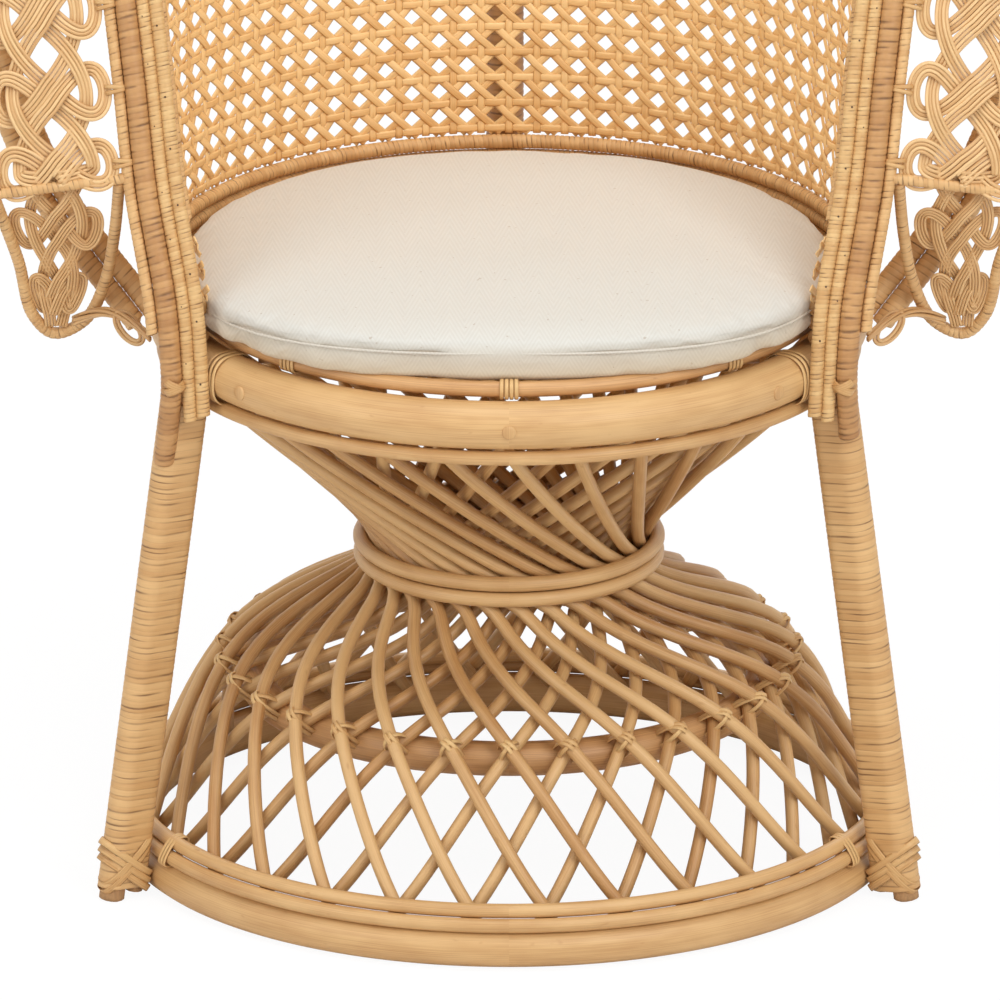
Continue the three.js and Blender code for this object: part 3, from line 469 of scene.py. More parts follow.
def make_piece(name, surfaces, finish, nodes=(), body="frame"):
    """Puts surfaces into one mesh object of the frame, in metres, that rides on a body. The finish is a
    material, or the name of one in FINISHES."""
    points, loops, sizes, uv, tone = joined(surfaces)
    placed = (points + (0.0, AXIS_Y, 0.0)) / 1000.0
    mesh = bpy.data.meshes.new(name)
    mesh.vertices.add(len(placed))
    mesh.vertices.foreach_set("co", placed.ravel())
    mesh.loops.add(len(loops))
    mesh.loops.foreach_set("vertex_index", loops.astype(np.int32))
    mesh.polygons.add(len(sizes))
    mesh.polygons.foreach_set("loop_start", np.concatenate([[0], np.cumsum(sizes)[:-1]]).astype(np.int32))
    mesh.polygons.foreach_set("use_smooth", sizes <= 4)
    mesh.uv_layers.new(name="UVMap").data.foreach_set("uv", uv.ravel())
    mesh.attributes.new("tone", "FLOAT", "POINT").data.foreach_set("value", tone)
    mesh.update(calc_edges=True)
    if mesh.validate():
        raise RuntimeError("The faces of %s are not sound" % name)
    piece = bpy.data.objects.new(name, mesh)
    bpy.context.scene.collection.objects.link(piece)
    mesh.materials.append(finish_named(finish) if isinstance(finish, str) else finish)
    if nodes:
        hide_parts(*nodes)
    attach(piece, body)
    return piece


def length_setting(name, about, metres):
    """A length that a user may change."""
    return bpy.props.FloatProperty(name=name, description=about, default=metres, unit="LENGTH")


def colour_setting(name, about, red, green, blue):
    """A colour that a user may change, given as on a screen."""
    return bpy.props.FloatVectorProperty(name=name, description=about, default=srgb(red, green, blue),
                                         subtype="COLOR", min=0, max=1)


class ChairSizes(bpy.types.PropertyGroup):
    """Sizes of the windings, the weave and the cushion."""

    stake: length_setting("Stake", "Diameter of a stake of the base", 0.010)
    peel_turn: length_setting("Peel turn", "Width of one turn of peel on poles and legs", 0.0047)
    strip_turn: length_setting("Strip turn", "Width of one turn on the pale edge strips", 0.0033)
    cane_strip: length_setting("Cane strip", "Width of a strip of the cane weave", 0.006)
    cane_column: length_setting("Cane column", "Distance between upright strips", 0.021)
    cane_row: length_setting("Cane row", "Distance between level strips", 0.0196)
    strand: length_setting("Strand", "Diameter of one strand of the knotwork", 0.0029)
    cushion_swell: length_setting("Cushion swell", "Most that the cushion's cover may move as it fills", 0.022)


class ChairColours(bpy.types.PropertyGroup):
    """Colours of the finishes."""

    rattan: colour_setting("Rattan", "Bare poles", 213, 172, 117)
    rattan_shade: colour_setting("Rattan shade", "Darker grain of bare poles", 178, 128, 74)
    # Partly painted light: these brown colours are a little lighter than bare rattan, standing in for light on the
    # poles that lie in shade inside the base and seat
    brown: colour_setting("Brown rattan", "Poles inside the base and seat", 220, 172, 116)
    brown_shade: colour_setting("Brown shade", "Darker grain of brown poles", 166, 116, 68)
    peel: colour_setting("Peel", "Wound peel", 220, 178, 122)
    peel_shade: colour_setting("Peel shade", "Darker turns of peel", 188, 138, 82)
    # Partly painted shade: a browner peel, darkened further to stand in for the shade on the side post; also used
    # for the rib and the border's back rail
    shaded_brown_peel: colour_setting("Shaded brown peel", "Browner windings of the post and the rib", 198, 150, 96)
    pale: colour_setting("Pale peel", "Edge strips and lashings", 220, 182, 125)
    slit: colour_setting("Slit", "Gaps between turns", 104, 68, 36)
    cane: colour_setting("Cane", "Strips of the weave", 249, 209, 147)
    cane_shade: colour_setting("Cane shade", "Darker grain of the weave", 226, 175, 109)
    strand: colour_setting("Strand", "Strands of the knotwork", 229, 191, 138)
    cotton: colour_setting("Cotton", "Cushion cover", 217, 216, 210)


def add_node(tree, kind, links=(), **settings):
    """A node with its settings; links pairs an input's name or number with a socket or a value."""
    node = tree.nodes.new(kind)
    for key, value in settings.items():
        setattr(node, key, value)
    for key, value in links:
        if isinstance(value, bpy.types.NodeSocket):
            tree.links.new(value, node.inputs[key])
        else:
            node.inputs[key].default_value = value
    return node


def math(tree, operation, a, b=0.0, clamp=False):
    """One arithmetic step on two sockets or values."""
    return add_node(tree, "ShaderNodeMath", ((0, a), (1, b)), operation=operation, use_clamp=clamp).outputs[0]


def mix_colour(tree, share, a, b, blend="MIX"):
    """A blend of two colours by a share."""
    node = add_node(tree, "ShaderNodeMix", ((0, share), (6, a), (7, b)), data_type="RGBA", blend_type=blend)
    return node.outputs[2]


def stretched_noise(tree, vector, scale, detail=2.0):
    """Noise on a vector stretched by a scale along each axis."""
    moved = add_node(tree, "ShaderNodeMapping", (("Vector", vector), ("Scale", scale)))
    noise = add_node(tree, "ShaderNodeTexNoise",
                     (("Vector", moved.outputs[0]), ("Scale", 1.0), ("Detail", detail), ("Roughness", 0.6)))
    return noise.outputs["Fac"]


def new_group(name, inputs, outputs):
    """An empty node group with named sockets, given as name, kind and default."""
    tree = bpy.data.node_groups.new(name, "ShaderNodeTree")
    for label, kind, default in inputs:
        socket = tree.interface.new_socket(label, in_out="INPUT", socket_type=kind)
        if default is not None:
            socket.default_value = default
    for label, kind in outputs:
        tree.interface.new_socket(label, in_out="OUTPUT", socket_type=kind)
    return tree, tree.nodes.new("NodeGroupInput").outputs, tree.nodes.new("NodeGroupOutput").inputs


def grain_group():
    """Grain of a pole or strip: fine streaks along it, broad mottling, and a tone of its own, which
    move the colour between a light and a dark one. u is along and v around, in metres."""
    tree, given, out = new_group(
        GRAIN,
        (("Vector", "NodeSocketVector", None), ("Tone", "NodeSocketFloat", 0.5),
         ("Colour", "NodeSocketColor", (0.6, 0.4, 0.2, 1)), ("Shade", "NodeSocketColor", (0.3, 0.2, 0.1, 1)),
         ("Contrast", "NodeSocketFloat", 0.8)),
        (("Colour", "NodeSocketColor"), ("Roughness", "NodeSocketFloat"), ("Height", "NodeSocketFloat")))
    streak = stretched_noise(tree, given["Vector"], (12, 1100, 1), 3.0)
    mottle = stretched_noise(tree, given["Vector"], (16, 55, 1), 2.0)
    mark = stretched_noise(tree, given["Vector"], (70, 160, 1), 1.0)
    both = math(tree, "ADD", math(tree, "MULTIPLY", math(tree, "SUBTRACT", streak, 0.5), 1.9),
                math(tree, "MULTIPLY", math(tree, "SUBTRACT", mottle, 0.5), 1.6))
    own = math(tree, "MULTIPLY", math(tree, "SUBTRACT", given["Tone"], 0.5), 1.1)
    share = math(tree, "ADD", math(tree, "MULTIPLY", both, given["Contrast"]), math(tree, "ADD", own, 0.68), True)
    colour = mix_colour(tree, share, given["Shade"], given["Colour"])
    fleck = add_node(tree, "ShaderNodeMapRange", (("Value", mark), (1, 0.70), (2, 0.80), (3, 0.0), (4, 0.55)))
    colour = mix_colour(tree, fleck.outputs[0], colour, given["Shade"])
    rough = add_node(tree, "ShaderNodeMapRange", (("Value", streak), (3, 0.40), (4, 0.58)))
    tree.links.new(colour, out["Colour"])
    tree.links.new(rough.outputs[0], out["Roughness"])
    tree.links.new(streak, out["Height"])
    return tree


def winding_group():
    """Turns of wound peel: u counts the turns. Each turn has a tone of its own and fibres along it,
    and the gap to the next turn is a dark slit that opens and closes on its way round."""
    tree, given, out = new_group(
        WINDING,
        (("Vector", "NodeSocketVector", None), ("Colour", "NodeSocketColor", (0.6, 0.4, 0.2, 1)),
         ("Shade", "NodeSocketColor", (0.4, 0.3, 0.2, 1)), ("Slit", "NodeSocketColor", (0.1, 0.06, 0.03, 1)),
         ("Opening", "NodeSocketFloat", 0.2), ("Variation", "NodeSocketFloat", 0.5)),
        (("Colour", "NodeSocketColor"), ("Roughness", "NodeSocketFloat"), ("Height", "NodeSocketFloat")))
    parts = add_node(tree, "ShaderNodeSeparateXYZ", ((0, given["Vector"]),))
    u = parts.outputs[0]
    middle = math(tree, "PINGPONG", u, 0.5)
    own = add_node(tree, "ShaderNodeTexWhiteNoise", (("W", math(tree, "FLOOR", u)),),
                   noise_dimensions="1D").outputs[0]
    fibre = stretched_noise(tree, given["Vector"], (7.0, 2.2, 1), 3.0)
    patch = stretched_noise(tree, given["Vector"], (0.23, 1.1, 1), 2.0)
    gape = stretched_noise(tree, given["Vector"], (0.9, 2.6, 1), 1.0)
    width = math(tree, "MULTIPLY", given["Opening"], math(tree, "ADD", gape, 0.35))
    slit = add_node(tree, "ShaderNodeMapRange", (("Value", middle), (1, 0.0), (2, width), (3, 1.0), (4, 0.0)))
    dark = add_node(tree, "ShaderNodeMapRange", (("Value", gape), (1, 0.46), (2, 0.68), (3, 0.1), (4, 0.95)))
    mask = math(tree, "MULTIPLY", slit.outputs[0], dark.outputs[0], True)
    tone = math(tree, "MULTIPLY", math(tree, "SUBTRACT", own, 0.5), given["Variation"])
    tone = math(tree, "ADD", tone, math(tree, "MULTIPLY", math(tree, "SUBTRACT", fibre, 0.5), 0.7))
    tone = math(tree, "ADD", tone, math(tree, "MULTIPLY", math(tree, "SUBTRACT", patch, 0.5), 1.1))
    share = math(tree, "ADD", tone, 0.68, True)
    colour = mix_colour(tree, mask, mix_colour(tree, share, given["Shade"], given["Colour"]), given["Slit"])
    height = math(tree, "ADD", math(tree, "SUBTRACT", 1.0, mask), math(tree, "MULTIPLY", fibre, 0.25))
    rough = add_node(tree, "ShaderNodeMapRange", (("Value", fibre), (3, 0.42), (4, 0.62)))
    tree.links.new(colour, out["Colour"])
    tree.links.new(rough.outputs[0], out["Roughness"])
    tree.links.new(height, out["Height"])
    return tree


def cotton_group():
    """Herringbone cotton on Object coordinates: fine slanted lines whose slant turns in each band,
    faint shading, painted shade that darkens and warms the colour below the seam, and a few small flecks of seed."""
    tree, given, out = new_group(
        WEAVE,
        (("Vector", "NodeSocketVector", None), ("Colour", "NodeSocketColor", (0.8, 0.78, 0.74, 1))),
        (("Colour", "NodeSocketColor"), ("Height", "NodeSocketFloat")))
    parts = add_node(tree, "ShaderNodeSeparateXYZ", ((0, given["Vector"]),))
    zigzag = math(tree, "PINGPONG", parts.outputs[0], 0.011)
    slant = math(tree, "ADD", math(tree, "MULTIPLY", parts.outputs[1], 0.2),
                 math(tree, "MULTIPLY", parts.outputs[2], 0.6))
    line = math(tree, "PINGPONG", math(tree, "MULTIPLY", math(tree, "ADD", slant, zigzag), 340.0), 0.5)
    slub = stretched_noise(tree, given["Vector"], (260, 260, 260), 3.0)
    soft = stretched_noise(tree, given["Vector"], (22, 22, 22), 2.0)
    seed = stretched_noise(tree, given["Vector"], (330, 330, 330), 0.0)
    fleck = add_node(tree, "ShaderNodeMapRange", (("Value", seed), (1, 0.81), (2, 0.86), (3, 0.0), (4, 0.4)))
    shade = math(tree, "ADD", math(tree, "MULTIPLY", line, 0.42), math(tree, "MULTIPLY", slub, 0.10))
    shade = math(tree, "ADD", shade, math(tree, "MULTIPLY", soft, 0.06))
    dim = mix_colour(tree, 1.0, given["Colour"], (0.86, 0.83, 0.79, 1), "MULTIPLY")
    colour = mix_colour(tree, math(tree, "MULTIPLY", shade, 2.2, True), dim, given["Colour"])
    # Painted shade: below the seam the colour is multiplied darker and warmer by height, for the shade under the
    # rounded front
    under = add_node(tree, "ShaderNodeMapRange",
                     (("Value", parts.outputs[2]), (1, 0.474), (2, 0.444), (3, 0.0), (4, 1.0)))
    painted_under_shade = mix_colour(tree, 1.0, colour, (0.9, 0.74, 0.55, 1), "MULTIPLY")
    colour = mix_colour(tree, under.outputs[0], colour, painted_under_shade)
    colour = mix_colour(tree, fleck.outputs[0], colour, (0.32, 0.2, 0.11, 1))
    height = math(tree, "ADD", line, math(tree, "MULTIPLY", slub, 0.8))
    tree.links.new(colour, out["Colour"])
    tree.links.new(height, out["Height"])
    return tree


def finish_of(name, group, values, bump, distance, coat=0.0, rough=None):
    """A material whose colour, roughness and bump come from one of the groups."""
    material = bpy.data.materials.get(name)
    if material:
        return material
    material = bpy.data.materials.new(name)
    material.use_nodes = True
    tree = material.node_tree
    shader = tree.nodes["Principled BSDF"]
    made = bpy.data.node_groups.get(group)
    if not made:
        made = {GRAIN: grain_group, WINDING: winding_group, WEAVE: cotton_group}[group]()
    node = add_node(tree, "ShaderNodeGroup", node_tree=made)
    if group == WEAVE:
        vector = add_node(tree, "ShaderNodeTexCoord").outputs["Object"]
    else:
        vector = add_node(tree, "ShaderNodeUVMap", uv_map="UVMap").outputs[0]
    tree.links.new(vector, node.inputs["Vector"])
    if "Tone" in node.inputs:
        tone = add_node(tree, "ShaderNodeAttribute", attribute_name="tone")
        tree.links.new(tone.outputs["Fac"], node.inputs["Tone"])
    for key, value in values.items():
        node.inputs[key].default_value = value
    tree.links.new(node.outputs["Colour"], shader.inputs["Base Color"])
    if rough is None:
        tree.links.new(node.outputs["Roughness"], shader.inputs["Roughness"])
    else:
        shader.inputs["Roughness"].default_value = rough
    relief = add_node(tree, "ShaderNodeBump", (("Strength", bump), ("Distance", distance),
                                               ("Height", node.outputs["Height"])))
    tree.links.new(relief.outputs[0], shader.inputs["Normal"])
    shader.inputs["Coat Weight"].default_value = coat
    shader.inputs["Coat Roughness"].default_value = 0.35
    return material


def colour4(value):
    """A colour with full alpha."""
    return (*value, 1.0)


# Finishes: group, light and dark colour, the group's own values, bump, its depth in metres, and coat
FINISHES = {
    "Bare rattan": (GRAIN, "rattan", "rattan_shade", {"Contrast": 0.85}, 0.25, 0.0006, 0.12),
    # Brown rattan: its colour is partly painted light for the shaded poles inside the base and seat
    "Brown rattan": (GRAIN, "brown", "brown_shade", {"Contrast": 0.75}, 0.3, 0.0006, 0.08),
    "Lashing peel": (GRAIN, "pale", "peel_shade", {"Contrast": 0.9}, 0.3, 0.0004, 0.0),
    "Cane strip": (GRAIN, "cane", "cane_shade", {"Contrast": 0.8}, 0.3, 0.0004, 0.1),
    "Knot strand": (GRAIN, "strand", "peel_shade", {"Contrast": 0.7}, 0.25, 0.0004, 0.05),
    "Wound peel": (WINDING, "peel", "peel_shade", {"Opening": 0.2, "Variation": 0.45}, 0.5, 0.0007, 0.0),
    "Pale wound peel": (WINDING, "pale", "peel_shade", {"Opening": 0.2, "Variation": 0.5}, 0.5, 0.0005, 0.0),
    # Brown wound peel: its colour is partly painted shade, darkened for the shaded side post
    "Brown wound peel": (WINDING, "shaded_brown_peel", "brown_shade", {"Opening": 0.32, "Variation": 0.7}, 0.5, 0.0007, 0.0),
}


def finish_named(name):
    """A finish of the list above, made when it is first asked for."""
    c = bpy.context.scene.chair_colours
    group, light, dark, values, bump, depth, coat = FINISHES[name]
    values = {"Colour": colour4(getattr(c, light)), "Shade": colour4(getattr(c, dark)), **values}
    if group == WINDING:
        values["Slit"] = colour4(c.slit)
    return finish_of(name, group, values, bump, depth, coat)


def plain_finish(name, colour, rough):
    """A small plain part: colour varied by noise on Object coordinates."""
    material = bpy.data.materials.get(name)
    if material:
        return material
    material = bpy.data.materials.new(name)
    material.use_nodes = True
    tree = material.node_tree
    vector = add_node(tree, "ShaderNodeTexCoord").outputs["Object"]
    noise = stretched_noise(tree, vector, (400, 400, 120), 3.0)
    darker = tuple(0.45 * v for v in colour)
    tree.links.new(mix_colour(tree, noise, colour4(darker), colour4(colour)),
                   tree.nodes["Principled BSDF"].inputs["Base Color"])
    tree.nodes["Principled BSDF"].inputs["Roughness"].default_value = rough
    return material


def stake_line(layer, count=46):
    """Radius, height and twist along one family of stakes: the profile moved square to itself,
    outwards for layer 1 and inwards for layer -1. Above the waist the twist is that of a straight
    stick, an arc cosine of the radius; it goes on evenly through the waist, all smoothed a little."""
    line = evenly(through(STAKE_PROFILE), 1.0)
    radius, height, below = line.T
    turned = [np.degrees(np.arccos(STICK_PASS / np.maximum(r, 98.0))) for r in (STAKE_PROFILE[0][0], radius)]
    waist = np.interp(-height, (-WAIST_SPAN[0], -WAIST_SPAN[1]), WAIST_TWISTS)
    lower = np.where(height > WAIST_SPAN[1], waist, below + LOWER_TWIST_SHIFT)
    twist = np.where(height > WAIST_SPAN[0], turned[0] - turned[1], lower)
    line[:, 2] = np.convolve(np.pad(twist, 12, "reflect", reflect_type="odd"), np.ones(25) / 25, "valid")
    line = line[np.linspace(0, len(line) - 1, count).round().astype(int)]
    slope = unit(np.gradient(line[:, :2], axis=0))
    moved = line.copy()
    moved[:, 0] -= layer * STAKE_LAYER * slope[:, 1]
    moved[:, 1] += layer * STAKE_LAYER * slope[:, 0]
    return moved


def clear_radius(layer, height, distance):
    """Radius of a level hoop whose middle keeps a distance from one family's stakes: outside them for
    layer 1, inside for layer -1. The nearest of many tried radii that is clear."""
    line = stake_line(layer, 300)
    tried = np.linspace(60, 300, 1201)
    span = np.hypot(tried[:, None] - line[None, :, 0], height - line[None, :, 1]).min(axis=1)
    beside = np.interp(-height, -line[:, 1], line[:, 0])
    clear = (span >= distance) & ((tried - beside) * layer > 0)
    return tried[clear].min() if layer > 0 else tried[clear].max()


class CHAIR_OT_base(bpy.types.Operator):
    """Floor ring with its trims, both families of stakes, the waist rings and the mid hoop"""

    bl_idname = "chair.base"
    bl_label = "Hourglass base"

    def execute(self, context):
        sizes = context.scene.chair_sizes
        make_piece("floor_ring", [hoop(*BASE_RING, 160, 24, 0.56)], "Bare rattan", ["base_ring"])
        make_piece("floor_trims", [hoop(*ring, 160, 12, tone) for ring, tone in zip(TRIM_RINGS, (0.5, 0.6))],
                   "Bare rattan", ["base_trim_ring_lower", "base_trim_ring_upper"])
        pitch = 360.0 / STAKE_COUNT
        for family, layer, slot in (("outer", 1, "rattan"), ("inner", -1, "rattan_dark")):
            line = stake_line(layer)
            sticks = []
            for i in range(STAKE_COUNT):
                path = polar(line[:, 0], i * pitch + layer * line[:, 2], line[:, 1])
                tone = 0.5 + 0.3 * np.sin(7.3 * i + 2 * layer)
                sticks.append(tube(path, 500 * sizes.stake, 10, hint=path * (1, 1, 0), tone=tone))
            nodes = ["%s_stakes_%d" % (family, k) for k in range(1, 7)]
            make_piece("cage_%s_stakes" % family, sticks, "Bare rattan", nodes)
        mid = clear_radius(-1, MID_HEIGHT, 500 * sizes.stake + MID_POLE / 2 - 0.4)
        make_piece("cage_mid_hoop", [hoop(mid, MID_HEIGHT, MID_POLE, 120, 18, 0.35)], "Brown rattan",
                   ["mid_hoop"])
        rings = []
        for height, tone in zip(WAIST_HEIGHTS, (0.52, 0.62)):
            radius = clear_radius(1, height, 500 * sizes.stake + WAIST_POLE / 2 - 0.2)
            rings.append(hoop(radius, height, WAIST_POLE, 100, 14, tone))
        make_piece("cage_waist_rings", rings, "Bare rattan", ["waist_ring_upper", "waist_ring_lower"])
        self.lash_crossings(mid)
        return {"FINISHED"}

    def lash_crossings(self, mid):
        """Three bands round each crossing of the stakes and the mid hoop behind it: two square to the
        outer stake and one to the inner stake."""
        outer = stake_line(1, 300)
        front = [np.interp(CROSSING_TWIST, outer[:, 2], outer[:, k]) for k in (0, 1)]
        angles = np.arange(STAKE_COUNT) * (360.0 / STAKE_COUNT) + CROSSING_TWIST
        bands = []
        for k, degrees in enumerate(angles):
            near = polar(front[0], degrees, front[1])
            far = polar(mid, degrees, MID_HEIGHT)
            inwards = unit(far - near)
            level = level_way(degrees)
            steep = np.cross(inwards, level)
            half = (np.linalg.norm(far - near) + CROSSING_FRONT + MID_POLE / 2 + 0.6) / 2
            centre = near + inwards * (half - CROSSING_FRONT)
            tilt = 0.62 + 0.08 * np.sin(3.1 * k)
            for turn, shift in ((tilt, -1.7), (tilt + 0.12, 1.9), (-tilt - 0.1, 0.2)):
                across = np.cos(turn) * level + np.sin(turn) * steep
                aside = np.cross(inwards, across)
                reach = 8.6 if turn > 0 else 9.4
                tone = 0.5 + 0.25 * np.sin(5.1 * k + turn)
                bands.append(oval_loop(centre + aside * shift, inwards, across, half + 0.35 * abs(shift), reach,
                                       *CROSSING_BAND, tone))
        make_piece("cage_lashings", bands, "Lashing peel")


class CHAIR_OT_seat(bpy.types.Operator):
    """Seat rail with its plugs, under ring, deck hoop, woven deck and cross bars"""

    bl_idname = "chair.seat"
    bl_label = "Seat frame"

    def execute(self, context):
        make_piece("seat_rail_pole", [hoop(*SEAT_RAIL, 160, 28, 0.58)], "Bare rattan",
                   ["seat_rail"])
        face = SEAT_RADIUS + SEAT_RAIL[2] / 2
        plugs = []
        for degrees in PLUG_ANGLES:
            out = polar(1.0, degrees, 0.0)
            plugs.append(revolved(PLUG_PROFILE, 18, polar(face, degrees, SEAT_HEIGHT), out, (0, 0, 1), 0.4))
        make_piece("seat_rail_plugs", plugs, "Bare rattan",
                   ["seat_rail_plug_left", "seat_rail_plug_middle", "seat_rail_plug_right"])
        make_piece("seat_under_pole", [hoop(*UNDER_RING, 160, 12, 0.45)], "Bare rattan",
                   ["seat_under_ring"])
        make_piece("seat_deck_pole", [hoop(*DECK_HOOP, 160, 12, 0.42)], "Brown rattan",
                   ["seat_deck_hoop"])
        make_piece("seat_deck_weave", self.deck(), "Cane strip", ["seat_deck"])
        bars = []
        for y, half in CROSS_BARS:
            path = np.stack([np.linspace(-half, half, 24), np.full(24, y), np.full(24, CROSS_BAR_HEIGHT)], axis=1)
            bars.append(tube(path, CROSS_BAR_RADIUS, 14, tone=0.4 + 0.001 * y))
        make_piece("seat_cross_poles", bars, "Brown rattan",
                   ["seat_cross_bar_front", "seat_cross_bar_middle", "seat_cross_bar_rear"])
        self.lash()
        return {"FINISHED"}

    def deck(self):
        """Plain weave of flat strips inside the deck hoop: strips across and along, each a chord of
        the circle that rides over and under the others by a cosine of its length."""
        strips = []
        section = strip_section(*DECK_STRIP)
        count = int(DECK_REACH / DECK_PITCH)
        for k in range(-count, count + 1):
            place = k * DECK_PITCH
            half = np.sqrt(DECK_REACH ** 2 - place ** 2)
            run = np.linspace(-half, half, max(int(half / 3), 4))
            wave = 0.75 * np.cos(np.pi * run / DECK_PITCH + np.pi * k)
            flat = np.full(len(run), place)
            height = DECK_TOP - 2.2
            strips.append(tube(np.stack([run, flat, height + wave], axis=1), 1.0, hint=(0, 0, 1),
                               section=section, tone=0.5 + 0.3 * np.sin(4.7 * k)))
            strips.append(tube(np.stack([flat, run, height - wave], axis=1), 1.0, hint=(0, 0, 1),
                               section=section, tone=0.5 + 0.3 * np.sin(3.9 * k + 1)))
        return strips

    def lash(self):
        """Bands round the deck hoop at three places, and round the rail beside each leg."""
        bands = []
        radius, height, pole = DECK_HOOP
        for degrees in DECK_TIE_ANGLES:
            for k in range(4):
                at = degrees + (k - 1.5) * 0.85
                out = polar(1.0, at, 0.0)
                bands.append(oval_loop(polar(radius, at, height), out, UP, pole / 2 + 0.9,
                                       pole / 2 + 0.9, 3.2, 1.2, 0.45 + 0.1 * k))
        radius, height, pole = SEAT_RAIL
        for degrees in RAIL_TIE_ANGLES:
            for k in range(3):
                at = degrees + (k - 1) * 0.9
                out = polar(1.0, at, 0.0)
                lean = unit(UP + 0.06 * (k - 1) * level_way(at))
                bands.append(oval_loop(polar(radius, at, height - 1), out, lean, pole / 2 + 0.6, pole / 2 + 1.4,
                                       3.4, 1.2, 0.45 + 0.1 * k, 36))
        make_piece("seat_lashings", bands, "Lashing peel")


def leg_axis(side, low, high, count=60):
    """Points on the main pole of a leg between two heights."""
    foot, seat = np.array(LEG_FOOT), np.array(LEG_SEAT)
    share = np.linspace(low, high, count)[:, None] / SEAT_HEIGHT
    path = foot + (seat - foot) * share
    return path if side > 0 else flipped(path)


def leg_section(reach, sides=26):
    """Outline round a leg's two poles, and its outward directions: half a circle round each pole,
    joined by straight sides, with the corners evenly spaced."""
    main, backing = (radius + reach for radius in LEG_RADII)
    tilt = np.arccos((main - backing) / LEG_STEP)
    near = np.linspace(-tilt, tilt, 200)
    far = np.linspace(tilt, 2 * np.pi - tilt, 200)
    rim = np.vstack([np.column_stack([LEG_STEP + backing * np.cos(near), backing * np.sin(near)]),
                     np.column_stack([main * np.cos(far), main * np.sin(far)])])
    rim = np.vstack([rim, rim[:1]])
    rim = evenly(np.roll(rim[:-1], -100, axis=0), 0.2)
    picked = rim[np.linspace(0, len(rim), sides, endpoint=False).astype(int)]
    after = np.roll(picked, -1, 0) - np.roll(picked, 1, 0)
    return picked, unit(np.stack([after[:, 1], -after[:, 0]], axis=1))


class CHAIR_OT_legs(bpy.types.Operator):
    """Front legs: two poles wound together with peel, bare ends below, bands at foot and seat"""

    bl_idname = "chair.legs"
    bl_label = "Front legs"

    def execute(self, context):
        turn = 1000 * context.scene.chair_sizes.peel_turn
        section, normals = leg_section(1.7)
        core = []
        for name, side in (("left", -1), ("right", 1)):
            inward = np.array(LEG_INWARD) * (side, 1, 1)
            path = leg_axis(side, *LEG_WINDING)
            winding = wound(path, 1.0, turn, 0.24, hint=inward, seed=0.3 + 0.2 * side, wander=0.34,
                            section=section, normals=normals)
            top = wound(leg_axis(side, *LEG_TOP_WINDING), 10.3, turn, 0.24, 14, (0, 1, 0), 0.4)
            make_piece("leg_winding_%s" % name, [winding, top], "Wound peel",
                       ["leg_wrap_%s" % name, "leg_%s" % name, "leg_backing_%s" % name])
            core.append(tube(leg_axis(side, 0.4, 20.0, 8), 9.6, 14, (0, 1, 0), tone=0.3))
            core.append(tube(leg_axis(side, 4.5, 20.0, 8) + inward * LEG_STEP, 6.6, 12, (0, 1, 0), tone=0.2))
        make_piece("leg_core_ends", core, plain_finish("Core end", srgb(196, 150, 102), 0.8))
        self.bands()
        return {"FINISHED"}

    def bands(self):
        """Slanted bands round the foot of each leg, ties from the foot over the floor trims, and a
        crossed band at the seat."""
        bands = []
        for side in (-1, 1):
            inward = np.array(LEG_INWARD) * (side, 1, 1)
            across = np.cross(UP, inward)
            for slant, low, count in ((-0.8, 20.0, 3), (0.95, 25.0, 2)):
                for k in range(count):
                    centre = leg_axis(side, low + 6.0 * k, low + 6.0 * k + 1.0, 2)[0] + inward * 7.2
                    lean = unit(inward + np.array((0, 0, slant)))
                    reach = 18.7 * np.hypot(1.0, slant) + 0.3 * k
                    bands.append(oval_loop(centre, lean, across, reach, 12.0, 5.8, 0.6, 0.2 + 0.08 * k, 40))
            for k in range(3):
                at = 60.6 + 0.75 * k
                ring = polar(284.7, side * at, 39.2)
                out = polar(1.0, side * at, 0.0)
                bands.append(oval_loop(ring, unit(UP - 0.6 * out), out, 12.2, 7.2, 3.4, 1.1,
                                       0.45 + 0.1 * k, 34))
            for lean, shift in ((0.42, 3.0), (-0.42, 0.0)):
                centre = leg_axis(side, 411.0 + shift, 412.0 + shift, 2)[0] + np.array((side * 3.2, -10.5, 0))
                flat = unit(np.array((1.0, 0.0, lean * side)))
                bands.append(oval_loop(centre, flat, np.array((0, 1.0, 0)), 9.4, 20.4, 7.0, 0.5, 0.22, 34))
        make_piece("leg_bands", bands, "Lashing peel")


def edge_line():
    """The fan's edge from the left seat end over the crown to the right: points a mm apart, and their
    directions outwards in the plane of the fan and forwards."""
    right = from_seat(EDGE_POINTS)
    line = evenly(through(np.vstack([flipped(right[:-1]), right[::-1]])), 1.0)
    along = unit(np.gradient(line, axis=0))
    outward = unit(np.stack([-along[:, 2], 0 * along[:, 0], along[:, 0]], axis=1))
    return line, outward, unit(np.cross(along, outward))


EDGE, EDGE_OUT, EDGE_AHEAD = edge_line()
EDGE_LENGTH = float(np.linalg.norm(np.diff(EDGE, axis=0), axis=1).sum())
STATION = EDGE_LENGTH / EDGE_STATIONS


def beside_edge(run, out, forward=0.0):
    """Places beside the edge: run mm along it, out in the plane of the fan and forward of it."""
    at = np.linspace(0.0, EDGE_LENGTH, len(EDGE))
    point, outward, ahead = (np.stack([np.interp(run, at, a[:, k]) for k in range(3)], axis=-1)
                             for a in (EDGE, EDGE_OUT, EDGE_AHEAD))
    return point + outward * np.asarray(out)[..., None] + ahead * np.asarray(forward)[..., None]


def edge_path(first, out, forward=0.0, step=4.0):
    """A path beside the edge that leaves out a number of stations at each end."""
    run = np.arange(first * STATION, EDGE_LENGTH - first * STATION, step)
    return beside_edge(run, np.full(len(run), float(out)), np.full(len(run), float(forward)))


